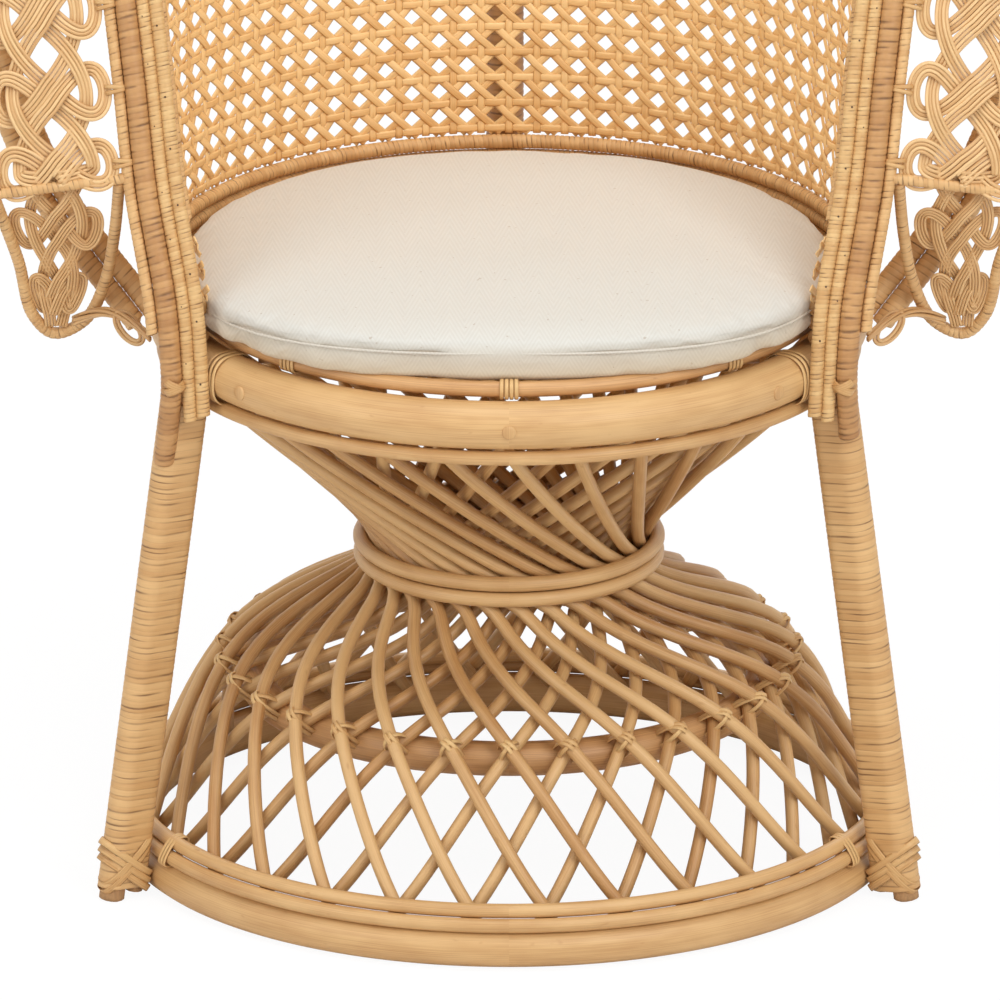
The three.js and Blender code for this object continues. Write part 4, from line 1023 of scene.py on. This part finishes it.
class CHAIR_OT_edges(bpy.types.Operator):
    """Wound rails along the edge of the fan: pale strips, post, border rails, rim and a back pole"""

    bl_idname = "chair.edges"
    bl_label = "Edge rails"

    def execute(self, context):
        sizes = context.scene.chair_sizes
        fine, turn = 1000 * sizes.strip_turn, 1000 * sizes.peel_turn
        strips = (("inner", 5.4, 0.2), ("outer", 5.0, 0.6))
        for (name, radius, seed), out in zip(strips, STRIP_OUTS):
            section = circle(10) * (radius * 0.94, radius)
            path = edge_path(0, out)
            below = path[0] - unit(path[1] - path[0]) * (9.0 + out / 3)
            path = np.vstack([below, path, flipped(below)])
            rail = wound(path, radius, fine, 0.26, hint=(0, 1, 0), seed=seed, section=section)
            make_piece("edge_strip_%s_winding" % name, [rail], "Pale wound peel",
                       ["edge_strip_%s" % name])
        post = edge_path(0, POST_OUT)
        tail = np.array(POST_TAIL)
        post = np.vstack([flipped(tail), post, tail[::-1]])
        # The post's brown peel is partly painted shade
        make_piece("side_post_winding", [wound(through(post[::6], 12), 8.1, turn, 0.3, 12, seed=0.8)],
                   "Brown wound peel", ["side_post_arch"])
        thin = wound(edge_path(0.7, BORDER_RAIL_OUT), BORDER_RAIL_RADIUS, 4.2, 0.26, seed=0.35)
        make_piece("border_rail_winding", [thin], "Wound peel", ["border_inner_rail"])
        rim = edge_path(BORDER_ENDS, RIM_OUT)
        make_piece("border_rim_winding", [wound(rim, RIM_RADIUS, turn, 0.3, 12, seed=0.55)],
                   "Wound peel", ["border_rim"])
        make_piece("border_trim_winding", [wound(edge_path(BORDER_ENDS, RIM_TRIM_OUT), 4.5, fine, 0.26, seed=0.15)],
                   "Pale wound peel", ["border_rim_trim"])
        backs = [wound(edge_path(1.75, -4.4, -6.5), 3.0, 3.6, 0.3, 8, seed=0.45)]
        make_piece("cane_edge_winding", backs, "Wound peel")
        behind = [wound(edge_path(1.2, 33.0, -10.5), 5.2, 4.4, 0.3, 10, seed=0.65)]
        make_piece("border_back_winding", behind, "Brown wound peel")
        self.nails()
        return {"FINISHED"}

    def nails(self):
        """Small domed nail heads along the two pale strips."""
        heads = []
        for out, start, radius in zip(STRIP_OUTS, (18.0, 36.0), (5.3, 4.5)):
            run = np.arange(start, EDGE_LENGTH - start + 1.0, NAIL_STEP)
            run = run + 5.0 * np.sin(2.3 * np.arange(len(run)) + out)
            place = beside_edge(run, np.full(len(run), out + 0.8), np.zeros(len(run)))
            ahead = beside_edge(run, np.full(len(run), out + 0.8), np.ones(len(run))) - place
            for p, a in zip(place, ahead):
                heads.append(revolved(NAIL_PROFILE, 8, p + a * (radius - 0.4), a, (0, 0, 1)))
        make_piece("edge_nails", heads, plain_finish("Dark nail", srgb(92, 62, 36), 0.6))


def back_line(height):
    """Y of the cane's middle at a height, leaning back by a power of 1.4 from barrel to crown."""
    crown = EDGE[len(EDGE) // 2]
    share = np.clip((height - SEAT_HEIGHT) / (crown[2] - SEAT_HEIGHT), 0.0, None)
    return BACK_RADIUS + (crown[1] + CANE_SETBACK - BACK_RADIUS) * share ** 1.4


def cane_arc(height):
    """Radius, half length and middle of the level arc of cane at a height: a circle through the edge
    on both sides and the back line in the middle."""
    half = len(EDGE) // 2
    run = np.linspace(EDGE_LENGTH / 2, EDGE_LENGTH, len(EDGE) - half)
    side = beside_edge(run, np.full(len(run), -2.0), np.full(len(run), -CANE_SETBACK))[::-1]
    x, y = (np.interp(height, side[:, 2], side[:, k]) for k in (0, 1))
    barrel = polar(BACK_RADIUS, 180.0 - BACK_END, 0.0)
    flare = smoothstep(height, *CANE_FLARE)
    x, y = barrel[0] + (x - barrel[0]) * flare, barrel[1] + (y - barrel[1]) * flare
    middle = back_line(height)
    depth = middle - y
    radius = (x ** 2 + depth ** 2) / (2 * depth)
    return radius, 2 * radius * np.arctan2(depth, x), middle


def on_cane(along, height, forward):
    """Points of the cane at a length along its level arc and a height, moved forward, and the way
    its face looks."""
    radius, _, middle = cane_arc(height)
    angle = along / radius
    reach = radius - forward
    points = np.stack([reach * np.sin(angle), middle - radius + reach * np.cos(angle), height], axis=-1)
    return points, np.stack([-np.sin(angle), -np.cos(angle), 0 * angle], axis=-1)


class CHAIR_OT_cane(bpy.types.Operator):
    """Woven cane of the fan in four directions, the barrel rails below it and the centre rib"""

    bl_idname = "chair.cane"
    bl_label = "Cane back"

    def execute(self, context):
        sizes = context.scene.chair_sizes
        column, row = 1000 * sizes.cane_column, 1000 * sizes.cane_row
        section = strip_section(1000 * sizes.cane_strip, CANE_THICK)
        crown = EDGE[len(EDGE) // 2][2]
        top = crown - 8.0
        heights = np.arange(CANE_BOTTOM, top, 4.0)
        reach = self.half_width(heights)
        level, upright, falling, rising = [], [], [], []
        first = CANE_BOTTOM + 4.0
        for k, height in enumerate(np.arange(first, top, row)):
            half = float(self.half_width(np.array(height)))
            along = np.linspace(-half, half, max(int(half / 2.4), 4))
            wave = -CANE_WAVE * np.cos(2 * np.pi * along / column) + 0.3
            level.append(self.strip(along, np.full(len(along), height), wave, section, k))
        last = int(reach.max() / column)
        for k in range(-last, last + 1):
            held = heights[reach >= abs(k * column)]
            wave = CANE_WAVE * np.cos(2 * np.pi * (held - first) / row) - 0.3
            if len(held) > 3:
                upright.append(self.strip(np.full(len(held), k * column), held, wave, section, k))
        rows = (top - CANE_BOTTOM) / row
        span = int(last + rows) + 2
        fine = np.arange(CANE_BOTTOM, top, 3.0)
        inside = self.half_width(fine)
        for k in range(-span, span + 1):
            for slope, lift, group in ((-1, 0.5, falling), (1, -0.5, rising)):
                along = (k + 0.5 + slope * (fine - first) / row) * column
                held = np.abs(along) <= inside
                wave = CANE_WAVE * np.cos(2 * np.pi * along / column) + lift
                if held.sum() > 3:
                    group.append(self.strip(along[held], fine[held], wave[held], section, k + slope))
        for name, strips in (("rows", level), ("columns", upright), ("falling", falling), ("rising", rising)):
            make_piece("cane_%s" % name, strips, "Cane strip", ["cane_panel"] if name == "rows" else ())
        self.rails(context)
        return {"FINISHED"}

    def half_width(self, height):
        """Half the length of the cane's level arc, drawn in a little beside the cushion."""
        return cane_arc(height)[1] - CANE_TUCK * (1.0 - smoothstep(height, *CANE_TUCK_SPAN))

    def strip(self, along, height, forward, section, number):
        """One strip of cane: a flat profile carried over the back, face to the front."""
        path, face = on_cane(along, height, forward)
        return tube(path, 1.0, hint=face, section=section, tone=0.5 + 0.28 * np.sin(3.7 * number))

    def rails(self, context):
        """Wound rails of the barrel, level arcs behind the cushion, and the rib behind the cane."""
        turn = 1000 * context.scene.chair_sizes.peel_turn
        angles = np.linspace(180.0 + RAIL_SHORT - BACK_END, 180.0 - RAIL_SHORT + BACK_END, 300)
        arcs = [wound(polar(BACK_RADIUS, angles, h), 5.6, 0.78 * turn, 0.4, 10, (0, 0, -1), 0.2 + 0.3 * k)
                for k, h in enumerate(BACK_RAIL_HEIGHTS)]
        make_piece("barrel_rails", arcs, "Wound peel", ["back_rail_1", "back_rail_2", "back_rail_3"])
        heights = SEAT_HEIGHT + (EDGE[len(EDGE) // 2][2] + POST_OUT - SEAT_HEIGHT) * np.array(RIB_SHARES)
        lean = np.stack([0 * heights + RIB_FOOT[0][0], back_line(heights) + 17.0, heights], axis=1)
        rib = wound(through(np.vstack([RIB_FOOT, lean])), RIB_RADIUS, turn, 0.4, 16, (0, 1, 0), 0.7)
        make_piece("cane_rib_winding", [rib], "Brown wound peel", ["back_centre_rib"])


def strand_times(ahead, step=0.06):
    """Times along a strand of the border, with half a turn more at each end to close the pattern."""
    low, high = -(1 + ahead) * np.pi, (2 * BORDER_TURNS - ahead) * np.pi
    return np.linspace(low, high, int((high - low) / step))


def border_strand(t, side, ahead):
    """Run along the edge, out from the border's middle and lift of one strand at the times t. It sways
    by a cosine on its way along, and reaches out by a sine: a wide loop on its own side, a shallow
    arc on the other. It lies over or under by the direction in which it crosses. Towards both ends
    the pattern is drawn together, and its first and last arcs turn in along the end."""
    length = (EDGE_STATIONS - 2 * BORDER_ENDS) * STATION - 2 * BORDER_ROOM
    advance = length / (BORDER_TURNS * 2 * np.pi)
    rise, sway = np.sin(t), np.cos(t)
    swing = np.where(rise > 0, LOOP_SWING, ARC_SWING)
    run = advance * (t + np.pi / 2 + ahead * np.pi) + STRAND_SWAY * sway + swing * np.sin(2 * t)
    if not ahead:
        first, last = -np.pi / 2, (2 * BORDER_TURNS - 0.5) * np.pi
        run = np.where(t < first, -END_ARC * np.sin(first - t), run)
        run = np.where(t > last, length + END_ARC * np.sin(t - last), run)
    run = run + END_PULL * (np.exp(-run / END_SPAN) - np.exp((run - length) / END_SPAN))
    out = side * rise * np.where(rise > 0, LOOP_REACH, ARC_REACH)
    turnover = np.cos(np.pi * np.abs(out) / (0.75 * LOOP_REACH))
    lift = -STRAND_LIFT * side * np.clip(2.2 * sway, -1, 1) * turnover
    return BORDER_ENDS * STATION + BORDER_ROOM + run, out, lift


class CHAIR_OT_border(bpy.types.Operator):
    """Knotwork of the border: four bundles of four strands, tied to the rail and the rim"""

    bl_idname = "chair.border"
    bl_label = "Knotwork border"

    def execute(self, context):
        strand = 1000 * context.scene.chair_sizes.strand
        ties = []
        for kind, side in (("loop", 1), ("arc", -1)):
            for name, ahead in (("a", 0), ("b", 1)):
                t = strand_times(ahead)
                run, out, lift = border_strand(t, side, ahead)
                slope = unit(np.stack([np.gradient(run), np.gradient(out)], axis=1))
                strands = []
                for k in range(BUNDLE):
                    aside = (k - (BUNDLE - 1) / 2) * strand * (0.84 + 0.2 * np.abs(np.cos(t)))
                    path = beside_edge(run - slope[:, 1] * aside, BORDER_MIDDLE + out + slope[:, 0] * aside, lift)
                    ahead_way = beside_edge(run, out, lift + 1.0) - beside_edge(run, out, lift)
                    tone = 0.5 + 0.22 * np.sin(2.9 * k + side)
                    strands.append(tube(path, 0.515 * strand, 7, ahead_way, tone=tone))
                make_piece("border_%s_bundle_%s" % (kind, name), strands, "Knot strand",
                           ["border_%s_strand_%s" % (kind, name)])
                ties += self.ties(side, ahead)
        make_piece("border_ties", ties, "Lashing peel")
        return {"FINISHED"}

    def ties(self, side, ahead):
        """Two short bands at the tip of each loop, round its outer strand and the rail it is tied to."""
        tips = np.pi / 2 + 2 * np.pi * (np.arange(BORDER_TURNS + ahead) - ahead)
        run = border_strand(tips, side, ahead)[0]
        if side > 0:
            low, high = BORDER_MIDDLE + TIE_FROM, RIM_OUT + RIM_RADIUS + 0.3
        else:
            low, high = BORDER_RAIL_OUT - BORDER_RAIL_RADIUS - 0.4, BORDER_MIDDLE - TIE_FROM
        middle = beside_edge(run, np.full(len(run), (low + high) / 2))
        outward = unit(beside_edge(run, np.full(len(run), high)) - middle)
        ahead_way = unit(beside_edge(run, np.full(len(run), 0.0), np.full(len(run), 1.0))
                         - beside_edge(run, np.full(len(run), 0.0)))
        along = np.cross(outward, ahead_way)
        return [oval_loop(c + b * lean * 1.7, unit(o + 0.12 * lean * b), a, (high - low) / 2,
                          5.2 if side < 0 else 7.2, 3.3, 1.1, 0.36 + 0.1 * lean, 24)
                for c, o, a, b in zip(middle, outward, ahead_way, along) for lean in (-1, 1)]


class CHAIR_OT_wings(bpy.types.Operator):
    """Wings beside the seat: bent end frames with their knots, struts, and rails under the border"""

    bl_idname = "chair.wings"
    bl_label = "Wings"

    def execute(self, context):
        sizes = context.scene.chair_sizes
        strand, turn = 1000 * sizes.strand, 1000 * sizes.peel_turn
        for name, side in (("left", -1), ("right", 1)):
            turned = (lambda p: np.asarray(p, float)) if side > 0 else flipped
            bow = wound(through(turned(WING_FRAME)), 4.6, 4.0, 0.28, 10, (0, 1, 0), 0.25 + 0.1 * side)
            make_piece("wing_bow_%s" % name, [bow], "Wound peel", ["wing_frame_%s" % name])
            knot = self.knot(turned, side, 0.78 * strand)
            make_piece("wing_knot_strands_%s" % name, knot, "Knot strand", ["wing_knot_%s" % name])
            make_piece("wing_foot_strands_%s" % name, self.foot(turned, strand), "Knot strand")
            for row, route in zip(("inner", "outer"), self.struts()):
                pole = wound(through(turned(route)), STRUT_REACH, turn, 0.35, 12, (0, 1, 0), 0.6 + 0.2 * side)
                make_piece("wing_strut_winding_%s_%s" % (row, name), [pole], "Wound peel",
                           ["wing_strut_%s_%s" % (row, name)])
            start = BORDER_ENDS * STATION + CROSS_RAIL_RUN
            run = np.full(30, start if side < 0 else EDGE_LENGTH - start)
            cross = beside_edge(run, np.linspace(BORDER_RAIL_OUT, RIM_OUT + 6.0, 30), np.zeros(30))
            rail = wound(cross, 4.2, 3.8, 0.28, 10, (0, 1, 0), 0.3)
            make_piece("border_cross_rail_%s" % name, [rail], "Wound peel")
        return {"FINISHED"}

    def struts(self):
        """Routes of the right wing's struts: from the side of the lowest barrel rail to the back of the
        rim, and a second one beside it, square to the first."""
        foot = polar(BACK_RADIUS + 5.6 + STRUT_REACH, STRUT_FOOT_ANGLE, BACK_RAIL_HEIGHTS[0])
        top = beside_edge(EDGE_LENGTH - 4.5 * STATION, np.array(RIM_OUT), np.array(-6.5 - STRUT_REACH))
        inner = np.vstack([foot, STRUT_BENDS, top])
        along = unit(np.vstack([inner[1:2] - inner[:1], inner[2:] - inner[:-2], inner[-1:] - inner[-2:-1]]))
        aside = unit(np.array((1.0, 0.0, 0.0)) - along * along[:, :1])
        return inner, inner + aside * (2 * STRUT_REACH - 0.4)

    def knot(self, turned, side, strand):
        """Four bundles like those of the border, between the two limbs of the bow: their reach narrows
        as the bow does on the way down."""
        bundles = []
        for hand, ahead in ((1, 0), (1, 1), (-1, 0), (-1, 1)):
            t = np.linspace(-1.6 * ahead - 1.0, 1.1 - 1.3 * ahead, 120) * np.pi
            rise, sway = np.sin(t), np.cos(t)
            fall = KNOT_TOP + KNOT_ADVANCE * (t + np.pi / 2 + ahead * np.pi) + KNOT_SWAY * sway
            fall = fall + np.where(rise > 0, KNOT_LOOP_SWING, KNOT_ARC_SWING) * np.sin(2 * t)
            half = np.interp(fall, KNOT_RUNS, KNOT_WIDTHS) - KNOT_CLEAR
            wide = hand * rise * half * np.where(rise > 0, 1.0, KNOT_ARC_SHARE)
            turnover = np.cos(np.pi * np.abs(wide) / (0.75 * half))
            lift = -KNOT_LIFT * side * hand * np.clip(2.2 * sway, -1, 1) * turnover
            slope = unit(np.stack([np.gradient(fall), np.gradient(wide)], axis=1))
            for k in range(BUNDLE):
                aside = (k - (BUNDLE - 1) / 2) * strand
                down, across = fall - slope[:, 1] * aside, wide + slope[:, 0] * aside
                middle = np.stack([np.interp(down, WING_RUN, c) for c in np.transpose(WING_MIDDLE)], axis=1)
                path = middle + across[:, None] * (1.0, 0.0, 0.0) + lift[:, None] * (0.0, -0.98, 0.2)
                # Painted shade: the low tones make the wing knots' strands darker than the border's, standing in
                # for the shade they lie in
                bundles.append(tube(turned(path), 0.51 * strand, 7, (0, -1, 0), tone=0.16 + 0.07 * k))
        return bundles

    def foot(self, turned, strand):
        """Loose strands tied along the foot of a wing, from the post to the bow, with a small loop."""
        t = np.linspace(0.0, 1.0, 40)
        line = np.stack([324.0 - 58.0 * t, -73.0 - 46.0 * t, 434.0 + 3.0 * t + 13.0 * np.sin(np.pi * t)], axis=1)
        strands = []
        for k in range(5):
            turn = k * 2 * np.pi / 5 + 3.0 * t
            spread = 0.85 * strand + 0.6 * np.sin(np.pi * t + k)
            path = line + np.stack([0 * t, spread * np.cos(turn), spread * np.sin(turn)], axis=1)
            strands.append(tube(turned(path), 0.5 * strand, 6, tone=0.15 + 0.06 * k))
        a = np.linspace(0.0, 2 * np.pi, 48, endpoint=False)
        for k in range(2):
            long, short = (14.0 - k * strand) * np.cos(a), (8.0 - k * strand) * np.sin(a)
            path = np.stack([282.0 - 0.66 * long + 0.75 * short, -104.0 - 4.0 * np.cos(a),
                             440.0 - 0.75 * long - 0.66 * short], axis=1)
            strands.append(tube(turned(path), 0.52 * strand, 6, (0, -1, 0), closed=True, tone=0.4))
        return strands


class CHAIR_OT_cushion(bpy.types.Operator):
    """Loose round cushion: a stuffed cotton cover with a seam round its middle"""

    bl_idname = "chair.cushion"
    bl_label = "Cushion"

    def execute(self, context):
        low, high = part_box("seat_cushion")
        swell = context.scene.chair_sizes.cushion_swell
        box = np.array((low, high)) * 1000.0 - (0.0, AXIS_Y, 0.0)
        a = np.linspace(-np.pi / 2, np.pi / 2, 49)
        reach = np.cos(a).clip(0) ** 0.34
        rise = np.sign(a) * np.abs(np.sin(a)) ** 1.2
        points, loops, sizes, uv, tone = revolved(np.column_stack([reach, rise]), 120)
        share = np.hypot(points[:, 0], points[:, 1])
        rim = self.outline(np.arctan2(points[:, 1], points[:, 0]), box, 6.0)
        middle, half = (box[0, 2] + box[1, 2]) / 2, (box[1, 2] - box[0, 2]) / 2 - 6.0
        centre = np.array((0.0, box[:, 1].mean()))
        points = np.column_stack([centre + (rim - centre) * share[:, None], middle + half * points[:, 2]])
        finish = self.finish()
        piece = make_piece("cushion_cover", [(points, loops, sizes, uv, tone)], finish, ["seat_cushion"],
                           "cushion")
        self.fill(context, piece, swell)
        self.shape(piece, box)
        fold = piece.modifiers.new("Smooth cover", "SUBSURF")
        fold.levels = fold.render_levels = 1
        turn = np.linspace(0.0, 2 * np.pi, 260, endpoint=False)
        edge = np.column_stack([self.outline(turn, box, 0.4), middle - SEAM_DROP + self.droop(turn)])
        make_piece("cushion_seam", [tube(edge, 1.0, 8, closed=True, tone=0.4)], finish, (), "cushion")
        return {"FINISHED"}

    def outline(self, angle, box, inset):
        """Rim of the cushion seen from above: an ellipse in its box, made squarer by the powers of
        CUSHION_OUTLINE at the front and the back."""
        c, s = np.cos(angle), np.sin(angle)
        power = 2 / np.where(s < 0, *CUSHION_OUTLINE)
        half = (box[1, :2] - box[0, :2]) / 2 - inset
        x = half[0] * np.sign(c) * np.abs(c) ** power
        y = half[1] * np.sign(s) * np.abs(s) ** power
        return np.stack([x, y + box[:, 1].mean()], axis=-1)

    def droop(self, angle):
        """How far the seam sinks: a little at the sides, with a slow unevenness."""
        return -7.0 * np.cos(angle) ** 2 + 0.5 * wobble(3.0 * np.sin(angle) + 2.0 * np.cos(angle), 0.4)

    def fill(self, context, piece, cap):
        """Blows the cover up by cloth pressure for some frames, with no point moving further than a cap."""
        remesh = piece.modifiers.new("Remesh", "REMESH")
        remesh.mode = "VOXEL"
        remesh.voxel_size = COVER_VOXEL
        self.apply(context, piece)
        start = np.empty(len(piece.data.vertices) * 3, np.float32)
        piece.data.vertices.foreach_get("co", start)
        cloth = piece.modifiers.new("Stuffing", "CLOTH")
        cloth.settings.use_pressure = True
        cloth.settings.uniform_pressure_force = STUFFING_PRESSURE
        cloth.settings.effector_weights.gravity = 0.0
        cloth.point_cache.frame_start, cloth.point_cache.frame_end = 1, STUFFING_FRAMES
        for number in range(1, STUFFING_FRAMES + 1):
            context.scene.frame_set(number)
        self.apply(context, piece)
        context.scene.frame_set(1)
        ended = np.empty(len(piece.data.vertices) * 3, np.float32)
        piece.data.vertices.foreach_get("co", ended)
        step = (ended - start).reshape(-1, 3)
        far = np.maximum(np.linalg.norm(step, axis=1, keepdims=True), 1e-9)
        moved = start.reshape(-1, 3) + step * np.minimum(1.0, cap / far)
        piece.data.vertices.foreach_set("co", moved.ravel())
        piece.data.polygons.foreach_set("use_smooth", np.ones(len(piece.data.polygons), bool))
        piece.data.update()

    def apply(self, context, piece):
        """Bakes the piece's modifiers into its mesh."""
        shaped = bpy.data.meshes.new_from_object(piece.evaluated_get(context.evaluated_depsgraph_get()))
        piece.modifiers.clear()
        piece.data = shaped

    def shape(self, piece, box):
        """Fits the stuffed cover to its place. In a cut through the middle each point lies at a tilt and a
        distance: the distance becomes that of a superellipse, of the powers of CUSHION_PROFILE above and
        below the seam, and keeps a share of the stuffing's unevenness. The cover is drawn in along the
        seam, which sinks at the sides, has shallow dents on top, and sags a little in front."""
        mesh = piece.data
        co = np.empty(len(mesh.vertices) * 3, np.float32)
        mesh.vertices.foreach_get("co", co)
        p = co.reshape(-1, 3).astype(float) * 1000.0 - (0.0, AXIS_Y, 0.0)
        low, high = p.min(axis=0), p.max(axis=0)
        p = box[0] + (p - low) * (box[1] - box[0]) / (high - low)
        middle, half = (box[0, 2] + box[1, 2]) / 2, (box[1, 2] - box[0, 2]) / 2
        angle = np.arctan2(p[:, 1] - box[:, 1].mean(), p[:, 0])
        rim = self.outline(angle, box, 0.0)
        centre = np.array((0.0, box[:, 1].mean()))
        reach = np.linalg.norm(p[:, :2] - centre, axis=1) / np.linalg.norm(rim - centre, axis=1)
        tilt = np.arctan2((p[:, 2] - middle) / half, reach)
        far = np.hypot((p[:, 2] - middle) / half, reach)
        place = ((tilt / np.pi + 0.5) * TILT_STEPS).astype(int).clip(0, TILT_STEPS - 1)
        count = np.maximum(np.bincount(place, minlength=TILT_STEPS), 1)
        usual = np.bincount(place, far, TILT_STEPS) / count
        power = np.where(tilt > 0, *CUSHION_PROFILE)
        wanted = (np.cos(tilt) ** power + np.abs(np.sin(tilt)) ** power) ** (-1 / power)
        far = wanted * (1.0 + STUFFING_SHARE * (far / np.maximum(usual[place], 0.1) - 1.0))
        reach, rise = far * np.cos(tilt), far * np.sin(tilt)
        p[:, :2] = centre + (rim - centre) * reach[:, None]
        p[:, 1] -= 0.045 * np.maximum(p[:, 1] - centre[1], 0.0)
        fade = np.where(rise < 0, 1.0 - np.abs(rise), 1.0).clip(0)
        p[:, 2] = middle + half * rise + smoothstep(reach, 0.55, 1.0) * self.droop(angle) * fade
        seam = middle - SEAM_DROP + self.droop(angle)
        pinch = 0.007 * np.exp(-((p[:, 2] - seam) / 2.2) ** 2) * smoothstep(reach, 0.9, 0.98)
        p[:, :2] = centre + (p[:, :2] - centre) * (1.0 - pinch)[:, None]
        upper = smoothstep(p[:, 2], middle + 4.0, box[1, 2])
        dents = 0.9 * wobble(p[:, 0] / 26.0, 0.3) + 0.9 * wobble(p[:, 1] / 31.0, 0.8)
        pull = np.sin(9 * angle + 1.3 * np.sin(4 * angle)) * smoothstep(reach, 0.7, 0.95)
        p[:, 2] += upper * (dents - 1.0) + 0.4 * pull * upper
        p[:, 2] = np.maximum(p[:, 2], box[0, 2] + 0.1)
        front = smoothstep(-np.sin(angle), 0.2, 0.9) * smoothstep(reach, 0.7, 0.98)
        p[:, 2] -= FRONT_SAG * front * smoothstep(-rise, 0.0, 1.0)
        mesh.vertices.foreach_set("co", ((p + (0.0, AXIS_Y, 0.0)) / 1000.0).astype(np.float32).ravel())
        mesh.update()

    def finish(self):
        """Off-white herringbone cotton."""
        c = bpy.context.scene.chair_colours
        material = finish_of("Herringbone cotton", WEAVE, {"Colour": colour4(c.cotton)},
                             0.35, 0.0005, rough=0.9)
        shader = material.node_tree.nodes["Principled BSDF"]
        shader.inputs["Sheen Weight"].default_value = 0.15
        return material


class CHAIR_OT_stage(bpy.types.Operator):
    """Pale floor, white surroundings, soft lamps and the camera"""

    bl_idname = "chair.stage"
    bl_label = "Stage"

    def execute(self, context):
        scene = context.scene
        scene.view_settings.view_transform = "Standard"
        self.floor(scene)
        self.world(scene)
        for name, place, size, power in LAMPS:
            data = bpy.data.lights.new(name, "AREA")
            data.size, data.energy = size, power
            lamp = bpy.data.objects.new(name, data)
            lamp.location = place
            lamp.rotation_euler = (Vector((0, 0, 0.4)) - Vector(place)).to_track_quat("-Z", "Y").to_euler()
            scene.collection.objects.link(lamp)
        data = bpy.data.cameras.new("View")
        data.sensor_width, data.lens = 36.0, VIEW_LENS
        data.clip_end = 200.0
        camera = bpy.data.objects.new("View", data)
        tilt = np.radians(VIEW_ELEVATION)
        back = Vector((0.0, -np.cos(tilt), np.sin(tilt)))
        camera.location = Vector(VIEW_AIM) + VIEW_DISTANCE * back
        camera.rotation_euler = (-back).to_track_quat("-Z", "Y").to_euler()
        scene.collection.objects.link(camera)
        scene.camera = camera
        return {"FINISHED"}

    def floor(self, scene):
        """A wide pale sheet under the chair, which glows to the camera."""
        run = np.linspace(-9.0, 9.0, 7)
        x, y = np.meshgrid(run, run)
        points = np.column_stack([x.ravel(), y.ravel(), np.zeros(x.size)])
        quads = grid_quads(len(run), len(run), ringed=False)
        mesh = bpy.data.meshes.new("studio_floor")
        mesh.from_pydata(points.tolist(), [], quads.tolist())
        floor = bpy.data.objects.new("studio_floor", mesh)
        scene.collection.objects.link(floor)
        material = bpy.data.materials.new("Pale floor")
        material.use_nodes = True
        tree = material.node_tree
        shader = tree.nodes["Principled BSDF"]
        shader.inputs["Base Color"].default_value = (0.86, 0.86, 0.86, 1)
        shader.inputs["Roughness"].default_value = 0.9
        rays = add_node(tree, "ShaderNodeLightPath")
        glow = add_node(tree, "ShaderNodeEmission", (("Color", (1, 1, 1, 1)), ("Strength", 1.03)))
        seen = math(tree, "MULTIPLY", rays.outputs["Is Camera Ray"], FLOOR_GLOW)
        both = add_node(tree, "ShaderNodeMixShader", ((0, seen), (1, shader.outputs[0]), (2, glow.outputs[0])))
        tree.links.new(both.outputs[0], tree.nodes["Material Output"].inputs["Surface"])
        mesh.materials.append(material)

    def world(self, scene):
        """White all round for the camera and reflections, half as strong as light."""
        world = bpy.data.worlds.new("White studio")
        world.use_nodes = True
        tree = world.node_tree
        rays = add_node(tree, "ShaderNodeLightPath")
        seen = math(tree, "MAXIMUM", rays.outputs["Is Camera Ray"], rays.outputs["Is Glossy Ray"])
        seen = math(tree, "MAXIMUM", seen, rays.outputs["Is Transmission Ray"])
        strength = math(tree, "ADD", math(tree, "MULTIPLY", seen, 1.0 - SKY_LIGHT), SKY_LIGHT)
        sky = tree.nodes["Background"]
        sky.inputs["Color"].default_value = (1, 1, 1, 1)
        tree.links.new(strength, sky.inputs["Strength"])
        scene.world = world


OPERATORS = (CHAIR_OT_base, CHAIR_OT_seat, CHAIR_OT_legs, CHAIR_OT_edges, CHAIR_OT_cane, CHAIR_OT_border,
             CHAIR_OT_wings, CHAIR_OT_cushion, CHAIR_OT_stage)


class CHAIR_PT_panel(bpy.types.Panel):
    """Sizes, colours and pieces of the chair"""

    bl_idname = "CHAIR_PT_panel"
    bl_label = "Peacock Chair"
    bl_space_type = "VIEW_3D"
    bl_region_type = "UI"
    bl_category = "Chair"

    def draw(self, context):
        for group in (context.scene.chair_sizes, context.scene.chair_colours):
            box = self.layout.box()
            for name in group.__annotations__:
                box.prop(group, name)
        for operator in OPERATORS:
            self.layout.operator(operator.bl_idname)


CLASSES = (ChairSizes, ChairColours, *OPERATORS, CHAIR_PT_panel)


def register():
    for made in CLASSES:
        bpy.utils.register_class(made)
    bpy.types.Scene.chair_sizes = bpy.props.PointerProperty(type=ChairSizes)
    bpy.types.Scene.chair_colours = bpy.props.PointerProperty(type=ChairColours)


def unregister():
    del bpy.types.Scene.chair_colours
    del bpy.types.Scene.chair_sizes
    for made in reversed(CLASSES):
        bpy.utils.unregister_class(made)


def main():
    """Builds every piece in order."""
    register()
    for operator in OPERATORS:
        group, name = operator.bl_idname.split(".")
        getattr(getattr(bpy.ops, group), name)()
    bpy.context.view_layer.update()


if __name__ == "__main__":
    main()
